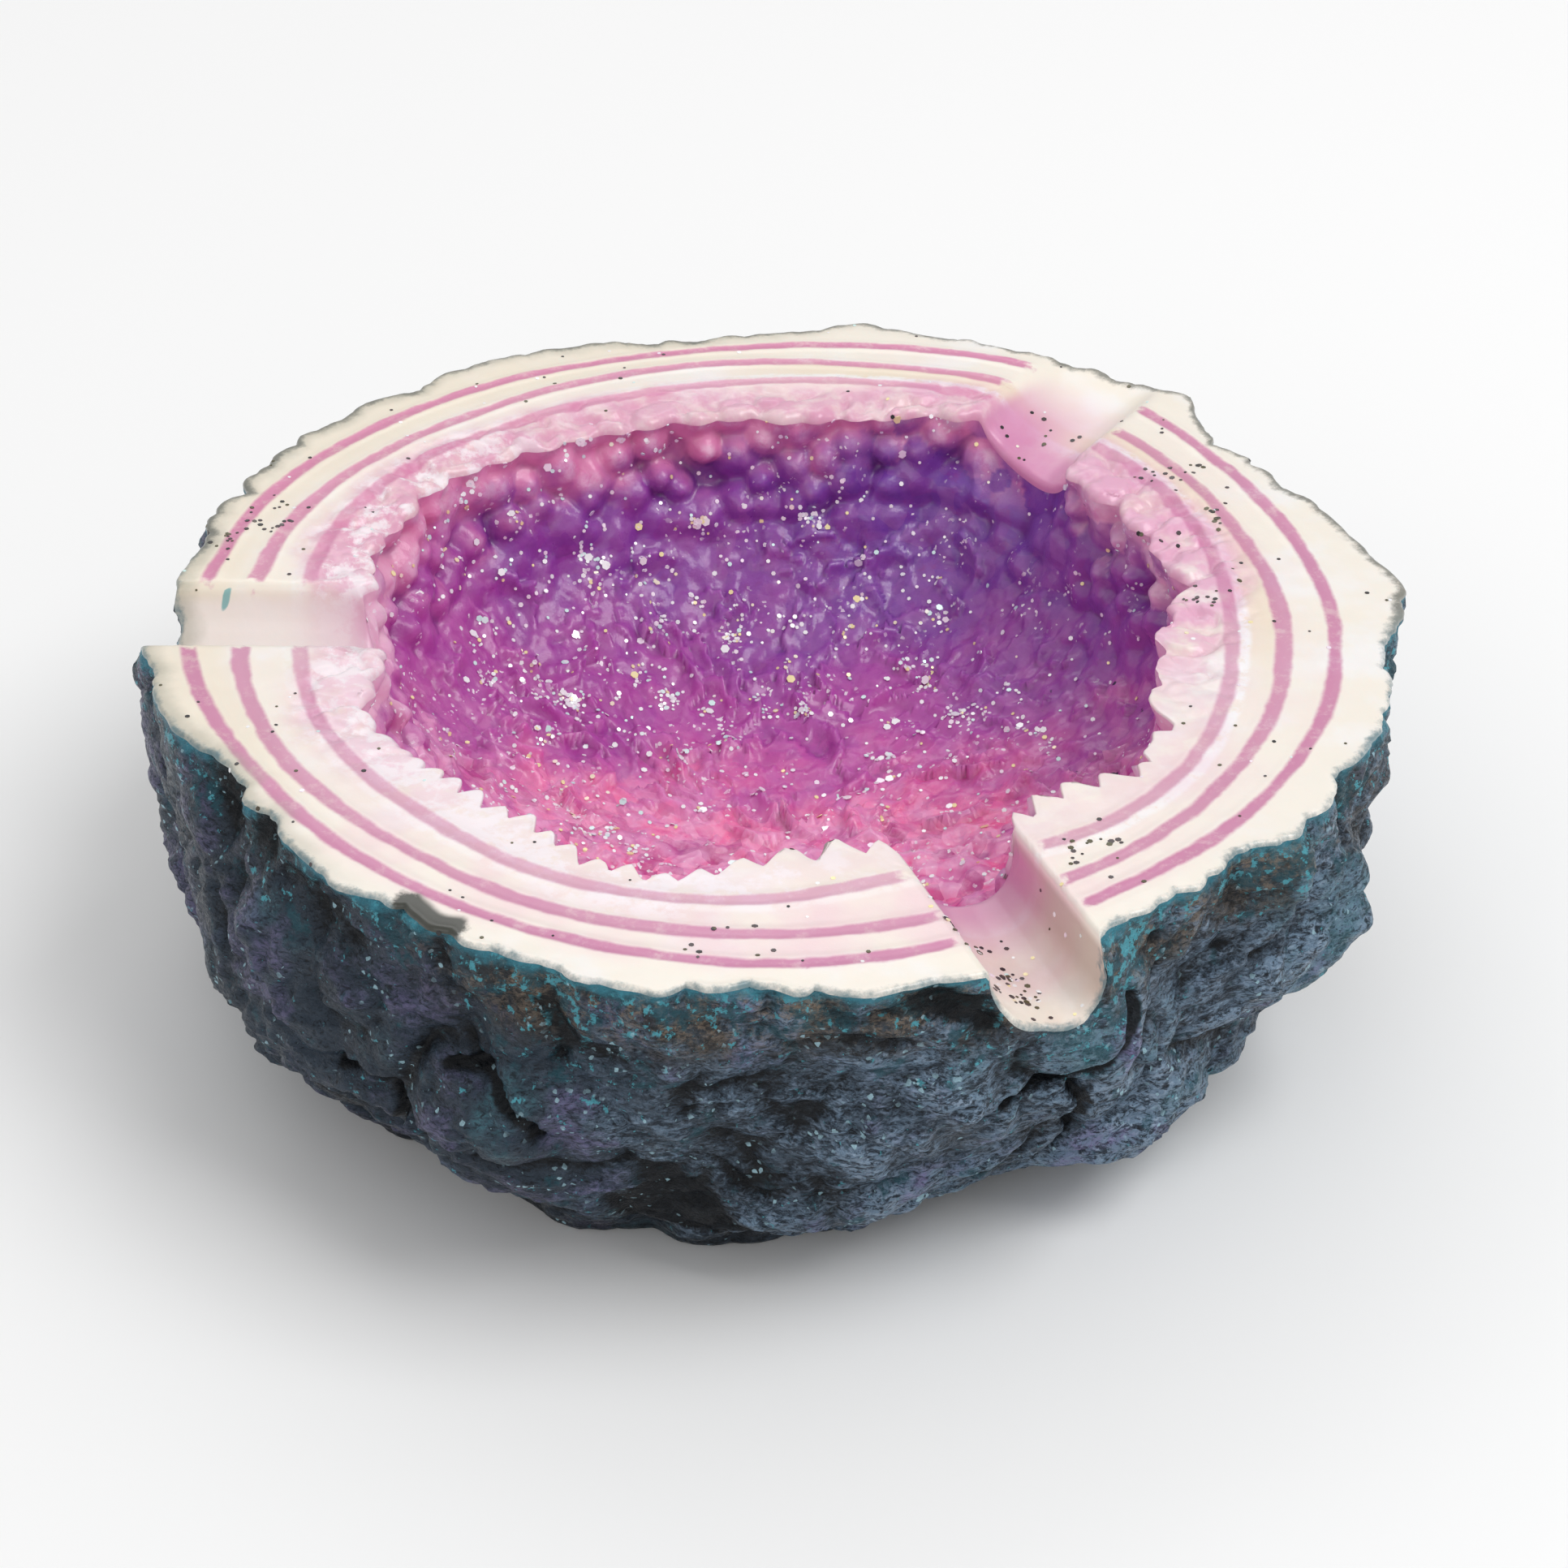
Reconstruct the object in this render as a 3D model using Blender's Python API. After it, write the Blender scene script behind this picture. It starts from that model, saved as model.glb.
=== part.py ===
"""Ashtray cast in polyresin as half a geode.

One solid casting: a lumpy rock outside with a flat foot, a flat rim cut across the geode,
a bowl lined with crystals, and three U-shaped cigarette rests cut through the rim.
Metres, +Z up. The origin is on the foot, under the middle of the rim's plain oval. The front
rest points along -Y.
"""
import math
import random
from collections import namedtuple

import bmesh
import bpy
from mathutils import Matrix, Vector, noise

OBJECT_NAME = "geode_ashtray"
BODY_NAME = "geode_body"

# The rock: a squashed ball, cut flat at the foot and at the rim.
RIM_HEIGHT = 0.041
RIM_HALF_WIDTH = 0.0627  # the plain oval of the rim, along X
RIM_HALF_DEPTH = 0.0668  # and along Y
WAIST_HEIGHT = 0.033  # the rock is widest a little below its rim
WAIST_TO_POLE = 0.0435  # from the waist down to where the ball's pole would be
ROCK_SQUARENESS = 2.5  # 2 would be an ellipsoid; more gives steeper sides and a wider foot
FOOT_SHIFT = (-0.0015, 0.0040)  # the foot isn't quite under the middle of the rim
# Where the outline leaves the plain oval: direction in degrees, reach in metres, spread in degrees.
ROCK_LOBES = (
    (18, -0.0012, 7),
    (26, 0.0042, 4),
    (37, 0.0028, 5),
    (52, 0.0041, 12),
    (62, 0.0016, 4),
    (92, 0.0012, 12),
    (118, 0.0016, 12),
    (118, 0.0012, 5),
    (168, 0.0022, 9),
    (200, 0.0006, 9),
    (227, 0.0016, 8),
    (256, 0.0022, 8),
    (291, -0.0042, 12),
    (317, -0.0018, 10),
    (331, -0.0005, 6),
    (344, 0.0028, 6),
)
# Boulders on the rock: direction in degrees, height, reach and spread in metres.
BOULDERS = (
    (167, 0.033, 0.0030, 0.0045),
    (188, 0.019, 0.0030, 0.0100),
    (262, 0.030, 0.0016, 0.0070),
    (300, 0.018, 0.0010, 0.0110),
    (342, 0.022, -0.0034, 0.0110),
    (60, 0.024, 0.0020, 0.0110),
    (224, 0.008, 0.0022, 0.0130),
    (300, 0.006, 0.0028, 0.0140),
    (268, 0.002, -0.0026, 0.0170),
)
SWELL_REACH, SWELL_SIZE = 0.0036, 0.026  # broad swellings of the rock
KNOB_REACH, KNOB_SIZE = 0.0018, 0.011  # knobs on top of them
RIM_CALM = 0.30  # share of the lumps that is left at the rim
CALM_DEPTH = 0.010  # and how far down the calm reaches

# The bowl: its lip stays near an oval too, with lobes of its own.
LIP_HALF_WIDTH = 0.0430
LIP_HALF_DEPTH = 0.0475
BOWL_DEPTH = 0.0300
BOWL_SQUARENESS = 2.5  # 2 would be an ellipsoid; more gives steeper walls and a flatter floor
LIP_LOBES = (
    (45, 0.0030, 9),
    (68, -0.0030, 10),
    (108, 0.0020, 14),
    (165, -0.0022, 9),
    (205, 0.0030, 16),
    (232, 0.0050, 12),
    (262, -0.0020, 10),
    (300, 0.0005, 9),
    (330, -0.0028, 14),
    (18, 0.0031, 31),
    (53, 0.0025, 17),
    (75, 0.0020, 9),
    (121, 0.0022, 7),
    (140, 0.0030, 7),
    (182, 0.0034, 9),
    (219, -0.0018, 5),
    (285, -0.0026, 6),
    (303, 0.0016, 6),
    (350, 0.0014, 8),
)
CRYSTAL_HEIGHT = 0.0026  # a typical crystal above the bowl's wall
CRYSTAL_SPREAD = 0.45  # heights vary by this share either way
CRYSTAL_JITTER = 0.0007  # tips and seats wander by this much
SEED = 11

# The rests: U-shaped grooves that point at the middle of the bowl. Each has a direction in degrees,
# a width at the rim, a depth beside the bowl and one at the outside, and the floor's sideways drift.
Rest = namedtuple("Rest", "direction width bowl_depth rock_depth drift")
RESTS = (
    Rest(270, 0.0114, 0.0074, 0.0078, 0.0018),
    Rest(36, 0.0140, 0.0078, 0.0012, -0.0008),
    Rest(159, 0.0118, 0.0074, 0.0070, 0.0),
)
REST_SQUARENESS = 2.3  # of the U: 2 would be half an ellipse
REST_START = 0.028  # from the axis to the groove's inner end, clear of the bowl's wall
REST_END = 0.076  # to its outer end, clear of the rock
REST_BOWL_SIDE = 0.040  # where a rest has its bowl_depth
REST_ROCK_SIDE = 0.066  # and its rock_depth
LEAST_DEPTH = 0.0005  # a sloping rest fades out to this
REST_LIFT = 0.012  # the groove's open top, clear of the rim
REST_SEGMENTS = 32
UNIT = Vector((1.0, 1.0, 1.0))

ROCK_DETAIL = 5
BOWL_DETAIL = 5


def lobed_oval(angle, half_width, half_depth, lobes):
    """Distance from the axis to an oval with Gaussian lobes, towards angle in radians."""
    oval = half_width * half_depth / math.hypot(
        half_depth * math.cos(angle), half_width * math.sin(angle)
    )
    for direction, reach, spread in lobes:
        turn = (math.degrees(angle) - direction + 180) % 360 - 180
        oval += reach * math.exp(-0.5 * (turn / spread) ** 2)
    return oval


def swollen(point, size, power):
    """A point of the unit ball moved onto a superellipsoid with these half sizes."""
    across = math.hypot(point.x, point.y)
    swell = (across**power + abs(point.z) ** power) ** (-1.0 / power)
    return Vector((point.x * size.x, point.y * size.y, point.z * size.z)) * swell


def rock_lumps(point):
    """How far the rock stands out of its smooth ball at a point."""
    boulders = 0.0
    for direction, height, reach, spread in BOULDERS:
        angle = math.radians(direction)
        middle = Vector((RIM_HALF_WIDTH * math.cos(angle), RIM_HALF_DEPTH * math.sin(angle), height))
        boulders += reach * math.exp(-0.5 * ((point - middle).length / spread) ** 2)
    broad = noise.noise(point / SWELL_SIZE + Vector((3.1, 0.4, 7.7)))
    small = noise.noise(point / KNOB_SIZE + Vector((0.6, 5.2, 1.9)))
    depth = min(max((RIM_HEIGHT - point.z) / CALM_DEPTH, 0.0), 1.0)
    share = RIM_CALM + (1.0 - RIM_CALM) * depth * depth * (3.0 - 2.0 * depth)
    return boulders + share * (SWELL_REACH * broad + KNOB_REACH * small)


def material(name, colour, roughness):
    made = bpy.data.materials.new(name)
    made.use_nodes = True
    shader = made.node_tree.nodes["Principled BSDF"]
    shader.inputs["Base Color"].default_value = (*colour, 1.0)
    shader.inputs["Roughness"].default_value = roughness
    shader.inputs["Metallic"].default_value = 0.0
    made.diffuse_color = (*colour, 1.0)
    return made


def collection(name):
    made = bpy.data.collections.new(name)
    bpy.context.scene.collection.children.link(made)
    return made


def mesh_object(name, bm, home, *materials):
    """A bmesh as an object in the collection home."""
    bm.normal_update()
    bmesh.ops.recalc_face_normals(bm, faces=bm.faces)
    mesh = bpy.data.meshes.new(name)
    bm.to_mesh(mesh)
    bm.free()
    for one in materials:
        mesh.materials.append(one)
    made = bpy.data.objects.new(name, mesh)
    home.objects.link(made)
    return made


def as_cutter(cutter):
    cutter.hide_render = True
    cutter.display_type = "WIRE"
    return cutter


def cut(body, cutter, operation):
    """A Boolean on body; the new faces take the cutter's material."""
    step = body.modifiers.new(cutter.name, "BOOLEAN")
    step.operation = operation
    step.object = cutter
    step.solver = "EXACT"
    step.material_mode = "TRANSFER"


def rock(home, paint):
    """The whole lumpy ball, before anything is cut from it."""
    bm = bmesh.new()
    bmesh.ops.create_icosphere(bm, subdivisions=ROCK_DETAIL, radius=1.0)
    for vert in bm.verts:
        angle = math.atan2(vert.co.y, vert.co.x)
        reach = lobed_oval(angle, RIM_HALF_WIDTH, RIM_HALF_DEPTH, ROCK_LOBES)
        size = Vector((reach, reach, WAIST_TO_POLE))
        vert.co = swollen(vert.co, size, ROCK_SQUARENESS) + Vector((0.0, 0.0, WAIST_HEIGHT))
        sunk = 1.0 - vert.co.z / RIM_HEIGHT
        vert.co += Vector((*FOOT_SHIFT, 0.0)) * sunk
    bm.normal_update()
    for vert in bm.verts:
        vert.co += vert.normal * rock_lumps(vert.co)
    return mesh_object(BODY_NAME, bm, home, paint)


def slab(home, paint):
    """Everything between the foot and the rim, which gives the rock its two flat faces."""
    bm = bmesh.new()
    side = 4.0 * RIM_HALF_DEPTH
    place = Matrix.Translation((0.0, 0.0, RIM_HEIGHT / 2)) @ Matrix.Diagonal(
        (side, side, RIM_HEIGHT, 1.0)
    )
    bmesh.ops.create_cube(bm, size=1.0, matrix=place)
    return as_cutter(mesh_object("rim_and_foot_slab", bm, home, paint))


def crystal_tips(bm, dice):
    """Vertices with no neighbour among them, so that each can be the tip of a crystal."""
    candidates = list(bm.verts)
    dice.shuffle(candidates)
    tips = set()
    for vert in candidates:
        if not any(edge.other_vert(vert) in tips for edge in vert.link_edges):
            tips.add(vert)
    return tips


def wander(dice, reach):
    """A random step of up to reach along each axis."""
    return Vector([dice.uniform(-reach, reach) for _ in range(3)])


def bowl(home, paint):
    """The hollow, whose wall is dented by the crystals that stand on it."""
    bm = bmesh.new()
    bmesh.ops.create_icosphere(bm, subdivisions=BOWL_DETAIL, radius=1.0)
    for vert in bm.verts:
        angle = math.atan2(vert.co.y, vert.co.x)
        lip = lobed_oval(angle, LIP_HALF_WIDTH, LIP_HALF_DEPTH, LIP_LOBES)
        size = Vector((lip, lip, BOWL_DEPTH))
        vert.co = swollen(vert.co, size, BOWL_SQUARENESS) + Vector((0.0, 0.0, RIM_HEIGHT))
    bm.normal_update()
    dice = random.Random(SEED)
    tips = crystal_tips(bm, dice)
    for vert in bm.verts:
        vert.co += wander(dice, CRYSTAL_JITTER)
        if vert in tips:
            height = CRYSTAL_HEIGHT * (1.0 + CRYSTAL_SPREAD * dice.uniform(-1.0, 1.0))
            vert.co -= vert.normal * height
    return as_cutter(mesh_object("bowl_cutter", bm, home, paint))


def rest(home, paint, shape):
    """A U-shaped groove: a cylinder whose lower half takes the rest's section and slope."""
    length = REST_END - REST_START
    bm = bmesh.new()
    bmesh.ops.create_cone(
        bm,
        cap_ends=True,
        segments=REST_SEGMENTS,
        radius1=1.0,
        radius2=1.0,
        depth=length,
        matrix=Matrix.Rotation(math.pi / 2, 4, "Y"),
    )
    slope = (shape.rock_depth - shape.bowl_depth) / (REST_ROCK_SIDE - REST_BOWL_SIDE)
    for vert in bm.verts:
        radius = vert.co.x + (REST_START + REST_END) / 2
        depth = shape.bowl_depth + slope * (radius - REST_BOWL_SIDE)
        section = swollen(Vector((vert.co.y, 0.0, vert.co.z)), UNIT, REST_SQUARENESS)
        side = section.x * shape.width / 2
        if section.z > 0.0:
            height = REST_LIFT
        else:
            height = section.z * max(depth, LEAST_DEPTH)
            side -= section.z * shape.drift
        vert.co = Vector((radius, side, RIM_HEIGHT + height))
    bm.transform(Matrix.Rotation(math.radians(shape.direction), 4, "Z"))
    return as_cutter(mesh_object(f"rest_cutter_{shape.direction}", bm, home, paint))


def build():
    for old in list(bpy.data.objects):
        bpy.data.objects.remove(old, do_unlink=True)
    parts = collection(OBJECT_NAME)
    cutters = collection("cutters")
    rock_paint = material("rock_paint", (0.045, 0.085, 0.115), 0.42)
    rim_paint = material("rim_paint", (0.90, 0.80, 0.72), 0.30)
    crystal_paint = material("crystal_paint", (0.50, 0.10, 0.42), 0.25)
    body = rock(parts, rock_paint)
    cut(body, slab(cutters, rim_paint), "INTERSECT")
    cut(body, bowl(cutters, crystal_paint), "DIFFERENCE")
    for shape in RESTS:
        cut(body, rest(cutters, rim_paint, shape), "DIFFERENCE")


build()
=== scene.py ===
import math
import random
from collections import namedtuple

import bpy
import numpy as np
from mathutils import Matrix, Vector, kdtree, noise


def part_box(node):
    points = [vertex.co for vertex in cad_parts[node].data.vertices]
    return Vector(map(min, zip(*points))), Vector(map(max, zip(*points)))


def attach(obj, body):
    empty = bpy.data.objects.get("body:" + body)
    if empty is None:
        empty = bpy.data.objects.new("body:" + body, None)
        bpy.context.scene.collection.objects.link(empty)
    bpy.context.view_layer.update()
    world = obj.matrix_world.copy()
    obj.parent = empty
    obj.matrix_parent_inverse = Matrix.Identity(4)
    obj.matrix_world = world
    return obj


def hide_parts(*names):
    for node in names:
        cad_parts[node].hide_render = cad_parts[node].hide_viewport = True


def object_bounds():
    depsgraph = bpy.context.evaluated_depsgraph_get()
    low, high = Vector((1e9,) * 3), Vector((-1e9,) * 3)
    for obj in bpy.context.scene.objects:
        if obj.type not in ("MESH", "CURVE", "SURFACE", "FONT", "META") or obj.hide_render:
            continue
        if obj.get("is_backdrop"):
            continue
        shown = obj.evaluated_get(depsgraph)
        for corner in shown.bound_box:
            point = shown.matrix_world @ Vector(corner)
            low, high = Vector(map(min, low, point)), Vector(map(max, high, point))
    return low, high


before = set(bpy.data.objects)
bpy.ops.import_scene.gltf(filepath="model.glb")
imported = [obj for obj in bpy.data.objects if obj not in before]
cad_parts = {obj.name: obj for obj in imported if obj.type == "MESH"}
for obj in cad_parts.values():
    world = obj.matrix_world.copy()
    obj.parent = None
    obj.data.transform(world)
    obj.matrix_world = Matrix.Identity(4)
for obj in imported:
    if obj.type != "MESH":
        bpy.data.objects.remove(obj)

CAD_LOW, CAD_HIGH = (list(corner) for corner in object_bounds())
RIM_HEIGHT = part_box("geode_body")[1][2]

# ---------------------------------------------------------------- the casting's measurements
# The rock, the bowl and the rests follow the same curves as the CAD solid.
# Lengths are in metres. Directions are in degrees, anticlockwise from +X as seen from above.
RIM_HALF_WIDTH = 0.0627
RIM_HALF_DEPTH = 0.0668
WAIST_HEIGHT = 0.033
WAIST_TO_POLE = 0.0435
SQUARENESS = 2.5
FOOT_SHIFT = (-0.0015, 0.0040)  # the foot stands this far off the rim's middle
ROCK_LOBES = (  # direction, reach and spread in degrees
    (18, -0.0012, 7), (26, 0.0042, 4), (37, 0.0028, 5), (52, 0.0041, 12), (62, 0.0016, 4),
    (92, 0.0012, 12), (118, 0.0016, 12), (118, 0.0012, 5),
    (168, 0.0022, 9), (200, 0.0006, 9), (227, 0.0016, 8), (256, 0.0022, 8), (291, -0.0042, 12),
    (317, -0.0018, 10), (331, -0.0005, 6), (344, 0.0028, 6),
)
BOULDERS = (  # direction, height, reach and spread
    (167, 0.033, 0.0030, 0.0045), (188, 0.019, 0.0030, 0.0100), (262, 0.030, 0.0016, 0.0070),
    (300, 0.018, 0.0010, 0.0110), (342, 0.022, -0.0034, 0.0110), (60, 0.024, 0.0020, 0.0110),
    (224, 0.008, 0.0022, 0.0130), (300, 0.006, 0.0028, 0.0140), (268, 0.002, -0.0026, 0.0170),
)
SWELL_REACH, SWELL_SIZE = 0.0036, 0.026
KNOB_REACH, KNOB_SIZE = 0.0018, 0.011
RIM_CALM, CALM_DEPTH = 0.30, 0.010
LIP_HALF_WIDTH = 0.0430
LIP_HALF_DEPTH = 0.0475
BOWL_DEPTH = 0.0300
LIP_RADIUS_ABOUT = 0.045
LIP_LOBES = (  # as the rock's
    (45, 0.0030, 9), (68, -0.0030, 10), (108, 0.0020, 14), (165, -0.0022, 9), (205, 0.0030, 16),
    (232, 0.0050, 12), (262, -0.0020, 10), (300, 0.0005, 9), (330, -0.0028, 14),
    (18, 0.0031, 31), (53, 0.0025, 17), (75, 0.0020, 9), (121, 0.0022, 7), (140, 0.0030, 7),
    (182, 0.0034, 9), (219, -0.0018, 5), (285, -0.0026, 6), (303, 0.0016, 6), (350, 0.0014, 8),
)
Rest = namedtuple("Rest", "direction width bowl_depth rock_depth drift")
RESTS = (
    Rest(270, 0.0114, 0.0074, 0.0078, 0.0018),
    Rest(36, 0.0140, 0.0078, 0.0012, -0.0008),
    Rest(159, 0.0118, 0.0074, 0.0070, 0.0),
)
REST_SQUARENESS = 2.3
REST_BOWL_SIDE, REST_ROCK_SIDE = 0.040, 0.066
LEAST_DEPTH = 0.0005
REST_ROUNDINGS = (0.0013, 0.0040, 0.0036)  # how soft each rest's long edges are

# ---------------------------------------------------------------- the mesh's layout
COLUMNS = 896  # round the casting; they halve towards both centres
ROCK_RINGS = 98
RIM_RINGS = 64
BOWL_RINGS = 128
BOWL_HALVINGS = (0.64, 0.82, 0.91, 0.955, 0.98)  # shares of the way in where the columns halve
FEWEST_COLUMNS = 14  # the foot's columns halve until they are this few
CORNER_STEPS = 4
ROCK_CORNER = 0.0005  # rounding where the rim meets the rock
LIP_CORNER = 0.00030  # and where it meets the crystals, which is softer away from the front
SOFT_LIP = 0.0012
MOUTH_CORNER = 0.0010  # at the rests' inner ends
FOOT_CORNER = 0.0012
BOX_MARGIN, BOX_SOFT = 0.0001, 0.0014  # the rock keeps this far inside the CAD's box, and how softly
RIM_DROP = 0.00038  # the painted rim lies this far under the CAD plane, to leave room for its ridges
REST_REACH = 0.0105  # columns run parallel to a rest out to here on either side of its middle
REST_TURN = math.radians(10.5)  # the columns that do
REST_FADE = math.radians(24.0)  # and where the others are back in their own place
MIDDLE_RADIUS = 0.055  # of the rim

TURN = 2.0 * math.pi
QUARTER = math.pi / 2


def wrapped(angle):
    return (angle + math.pi) % TURN - math.pi


def degrees_round(points):
    return np.degrees(np.arctan2(points[:, 1], points[:, 0])) % 360.0


def degrees_off(degrees, direction):
    """From -180 to 180."""
    return (degrees - direction + 180.0) % 360.0 - 180.0


def smooth(low, high, value):
    """0 at low, 1 at high and smooth between them; low may be the larger."""
    share = np.clip((value - low) / (high - low), 0.0, 1.0)
    return share * share * (3.0 - 2.0 * share)


def lobed_oval(angle, half_width, half_depth, lobes):
    """Distance from the axis to an oval with Gaussian lobes."""
    oval = half_width * half_depth / np.hypot(half_depth * np.cos(angle), half_width * np.sin(angle))
    for direction, reach, spread in lobes:
        oval = oval + reach * np.exp(-0.5 * (degrees_off(np.degrees(angle), direction) / spread) ** 2)
    return oval


def sampled(function, points, size, offset):
    """A mathutils.noise function at each row of points, for features of about this size."""
    moved = points / size + np.array(offset)
    return np.array([function(row) for row in moved.tolist()])


def rock_lumps(points):
    """How far the rock stands out of its smooth ball."""
    total = np.zeros(len(points))
    for direction, height, reach, spread in BOULDERS:
        angle = math.radians(direction)
        middle = np.array([RIM_HALF_WIDTH * math.cos(angle), RIM_HALF_DEPTH * math.sin(angle), height])
        total += reach * np.exp(-0.5 * (np.linalg.norm(points - middle, axis=1) / spread) ** 2)
    broad = sampled(noise.noise, points, SWELL_SIZE, (3.1, 0.4, 7.7))
    small = sampled(noise.noise, points, KNOB_SIZE, (0.6, 5.2, 1.9))
    share = RIM_CALM + (1.0 - RIM_CALM) * smooth(0.0, CALM_DEPTH, RIM_HEIGHT - points[:, 2])
    return total + share * (SWELL_REACH * broad + KNOB_REACH * small)


# Cracks, as (direction, height) points.
CRACKS = (
    ((278.5, 0.0325), (278, 0.0290), (276.5, 0.0262), (273.5, 0.0250), (271, 0.0250), (268, 0.0236)),
    ((274, 0.0235), (276, 0.0190), (277.5, 0.0140), (275, 0.0100)),
    ((221.5, 0.0262), (225, 0.0272), (228, 0.0244), (229.5, 0.0215)),
    ((208, 0.0192), (212, 0.0205), (215, 0.0208), (215, 0.0170), (214, 0.0140)),
    ((20, 0.0300), (26, 0.0240), (24, 0.0180), (31, 0.0120)),
    ((74, 0.0330), (80, 0.0270), (90, 0.0260), (96, 0.0200)),
    ((128, 0.0290), (134, 0.0230), (131, 0.0160)),
    ((318, 0.0270), (325, 0.0220), (323, 0.0160)),
)
CRACK_WIDTH = 0.00042
# Hollows, as direction, height and size; the rock paint darkens them as painted shade.
HOLLOWS = (
    (239, 0.0090, 0.0045), (190, 0.0372, 0.0040), (201, 0.0385, 0.0040), (208, 0.0360, 0.0030),
    (262, 0.0365, 0.0030), (110, 0.0120, 0.0050), (345, 0.0100, 0.0050),
)
SIDE_RADIUS = 0.062
DEGREE_ROUND = SIDE_RADIUS * math.pi / 180.0  # the length of one degree round the side


def crack_depth(points):
    """1 in the middle of a crack, 0 well away from it."""
    degrees, height = degrees_round(points), points[:, 2]
    wobble = sampled(noise.noise, points, 0.0035, (8.0, 1.0, 5.0)) * 0.0008
    nearest = np.full(len(points), 1.0)
    for crack in CRACKS:
        for (a, low), (b, high) in zip(crack[:-1], crack[1:]):
            x, z = degrees_off(degrees, a) * DEGREE_ROUND + wobble, height - low + wobble
            run, rise = (b - a) * DEGREE_ROUND, high - low
            share = np.clip((x * run + z * rise) / (run * run + rise * rise), 0.0, 1.0)
            nearest = np.minimum(nearest, np.hypot(x - run * share, z - rise * share))
    return np.exp(-0.5 * (nearest / CRACK_WIDTH) ** 2)


def hollow_depth(points):
    degrees, height = degrees_round(points), points[:, 2]
    total = np.zeros(len(points))
    for direction, level, size in HOLLOWS:
        x = degrees_off(degrees, direction) * DEGREE_ROUND
        total += np.exp(-0.5 * ((x / 1.5) ** 2 + (height - level) ** 2) / size**2 * 2.0)
    return total


def rock_detail(points):
    """The finer relief that only the visual model has: lumps with sharp creases, cracks and hollows."""
    bent = points + 0.0022 * np.stack(
        [sampled(noise.noise, points, 0.0080, (at, 3.0 * at, 1.7)) for at in (2.3, 6.1, 9.4)], axis=1
    )

    def billow(size, offset):
        return np.abs(sampled(noise.noise, bent, size, offset)) - 0.20

    relief = 0.0044 * billow(0.0150, (1.0, 4.0, 2.0)) + 0.0027 * billow(0.0066, (7.0, 1.0, 5.0))
    bent[:, 2] *= 1.7  # the finer folds run along the side, like pulled clay
    relief += 0.0012 * billow(0.0034, (4.4, 8.1, 0.3)) + 0.00036 * billow(0.0016, (2.2, 5.1, 6.3))
    relief += 0.00016 * sampled(noise.noise, bent, 0.0008, (9.0, 0.7, 3.3))
    relief -= 0.0016 * crack_depth(points) + 0.0018 * hollow_depth(points)
    return relief - 0.00035


def kept_inside(points):
    """Nothing stands out of the CAD solid's box: points near its sides are drawn in softly."""
    for axis in (0, 1):
        for side, sign in ((CAD_HIGH[axis], 1.0), (CAD_LOW[axis], -1.0)):
            limit = abs(side) - BOX_MARGIN
            out = points[:, axis] * sign
            over = np.maximum(out - (limit - BOX_SOFT), 0.0)
            drawn_in = limit - BOX_SOFT * np.exp(-over / BOX_SOFT)
            points[:, axis] = sign * np.where(over > 0.0, drawn_in, out)
    return points


def ball_section(height):
    """The rock's share of its reach at a height, and the same profile's slope."""
    drop = np.abs(height - WAIST_HEIGHT) / WAIST_TO_POLE
    share = (1.0 - drop**SQUARENESS) ** (1.0 / SQUARENESS)
    slope = -np.sign(height - WAIST_HEIGHT) * (drop / share) ** (SQUARENESS - 1.0) / WAIST_TO_POLE
    return share, slope


def rock_points(angle, height, detail=True):
    """Points of the rock's side, and how far each lies above or below its neighbourhood."""
    reach = lobed_oval(angle, RIM_HALF_WIDTH, RIM_HALF_DEPTH, ROCK_LOBES)
    share, slope = ball_section(height)
    across = np.stack([np.cos(angle), np.sin(angle)], axis=1)
    shift = np.array(FOOT_SHIFT) * (1.0 - height / RIM_HEIGHT)[:, None]
    level = np.column_stack([across * (reach * share)[:, None] + shift, height])
    steep = np.hypot(1.0, reach * slope)  # moving along the normal reaches this much further sideways
    move = rock_lumps(level) * steep
    relief = np.zeros(len(level))
    if detail:
        calm = smooth(0.0, 0.0050, RIM_HEIGHT - height) * 0.30 + 0.70
        calm *= 0.35 + 0.65 * smooth(0.0, 0.003, height)
        relief = rock_detail(level) * calm
        move = move + relief
    level[:, :2] += across * move[:, None]
    return kept_inside(level), relief


# ---------------------------------------------------------------- the rests' section
SECTION_STEPS = 240
HALF_WIDTH = 0.0060  # of the section in the table; each rest is scaled to its own
SHELF_STEPS = 200
DEPTHS = np.linspace(0.0002, 0.0095, 24)


def section_table(rounding):
    """Sideways place and depth along a rest's section, one row for each of DEPTHS."""
    across_rows, down_rows = [], []
    turn = np.linspace(0.0, math.pi, 600)
    shelf = np.linspace(HALF_WIDTH, REST_REACH + 0.003, SHELF_STEPS)
    flat = np.zeros(SHELF_STEPS - 1)
    for depth in DEPTHS:
        x, z = -np.cos(turn), np.sin(turn)
        swell = (np.abs(x) ** REST_SQUARENESS + z**REST_SQUARENESS) ** (-1.0 / REST_SQUARENESS)
        x = np.concatenate([-shelf[:0:-1], x * swell * HALF_WIDTH, shelf[1:]])
        z = np.concatenate([flat, z * swell * depth, flat])
        x, z = evenly(x, z, 1600)
        step = np.hypot(x[1] - x[0], z[1] - z[0])
        window = max(3, int(rounding / step) | 1)
        kernel = np.hanning(window + 2)[1:-1]
        kernel /= kernel.sum()
        x, z = (np.convolve(np.pad(row, window // 2, mode="edge"), kernel, mode="valid") for row in (x, z))
        keep = np.abs(x) <= REST_REACH
        x, z = evenly(x[keep], z[keep], SECTION_STEPS + 1)
        x[0], x[-1] = -REST_REACH, REST_REACH
        across_rows.append(x)
        down_rows.append(z)
    return np.array(across_rows), np.array(down_rows)


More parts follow.
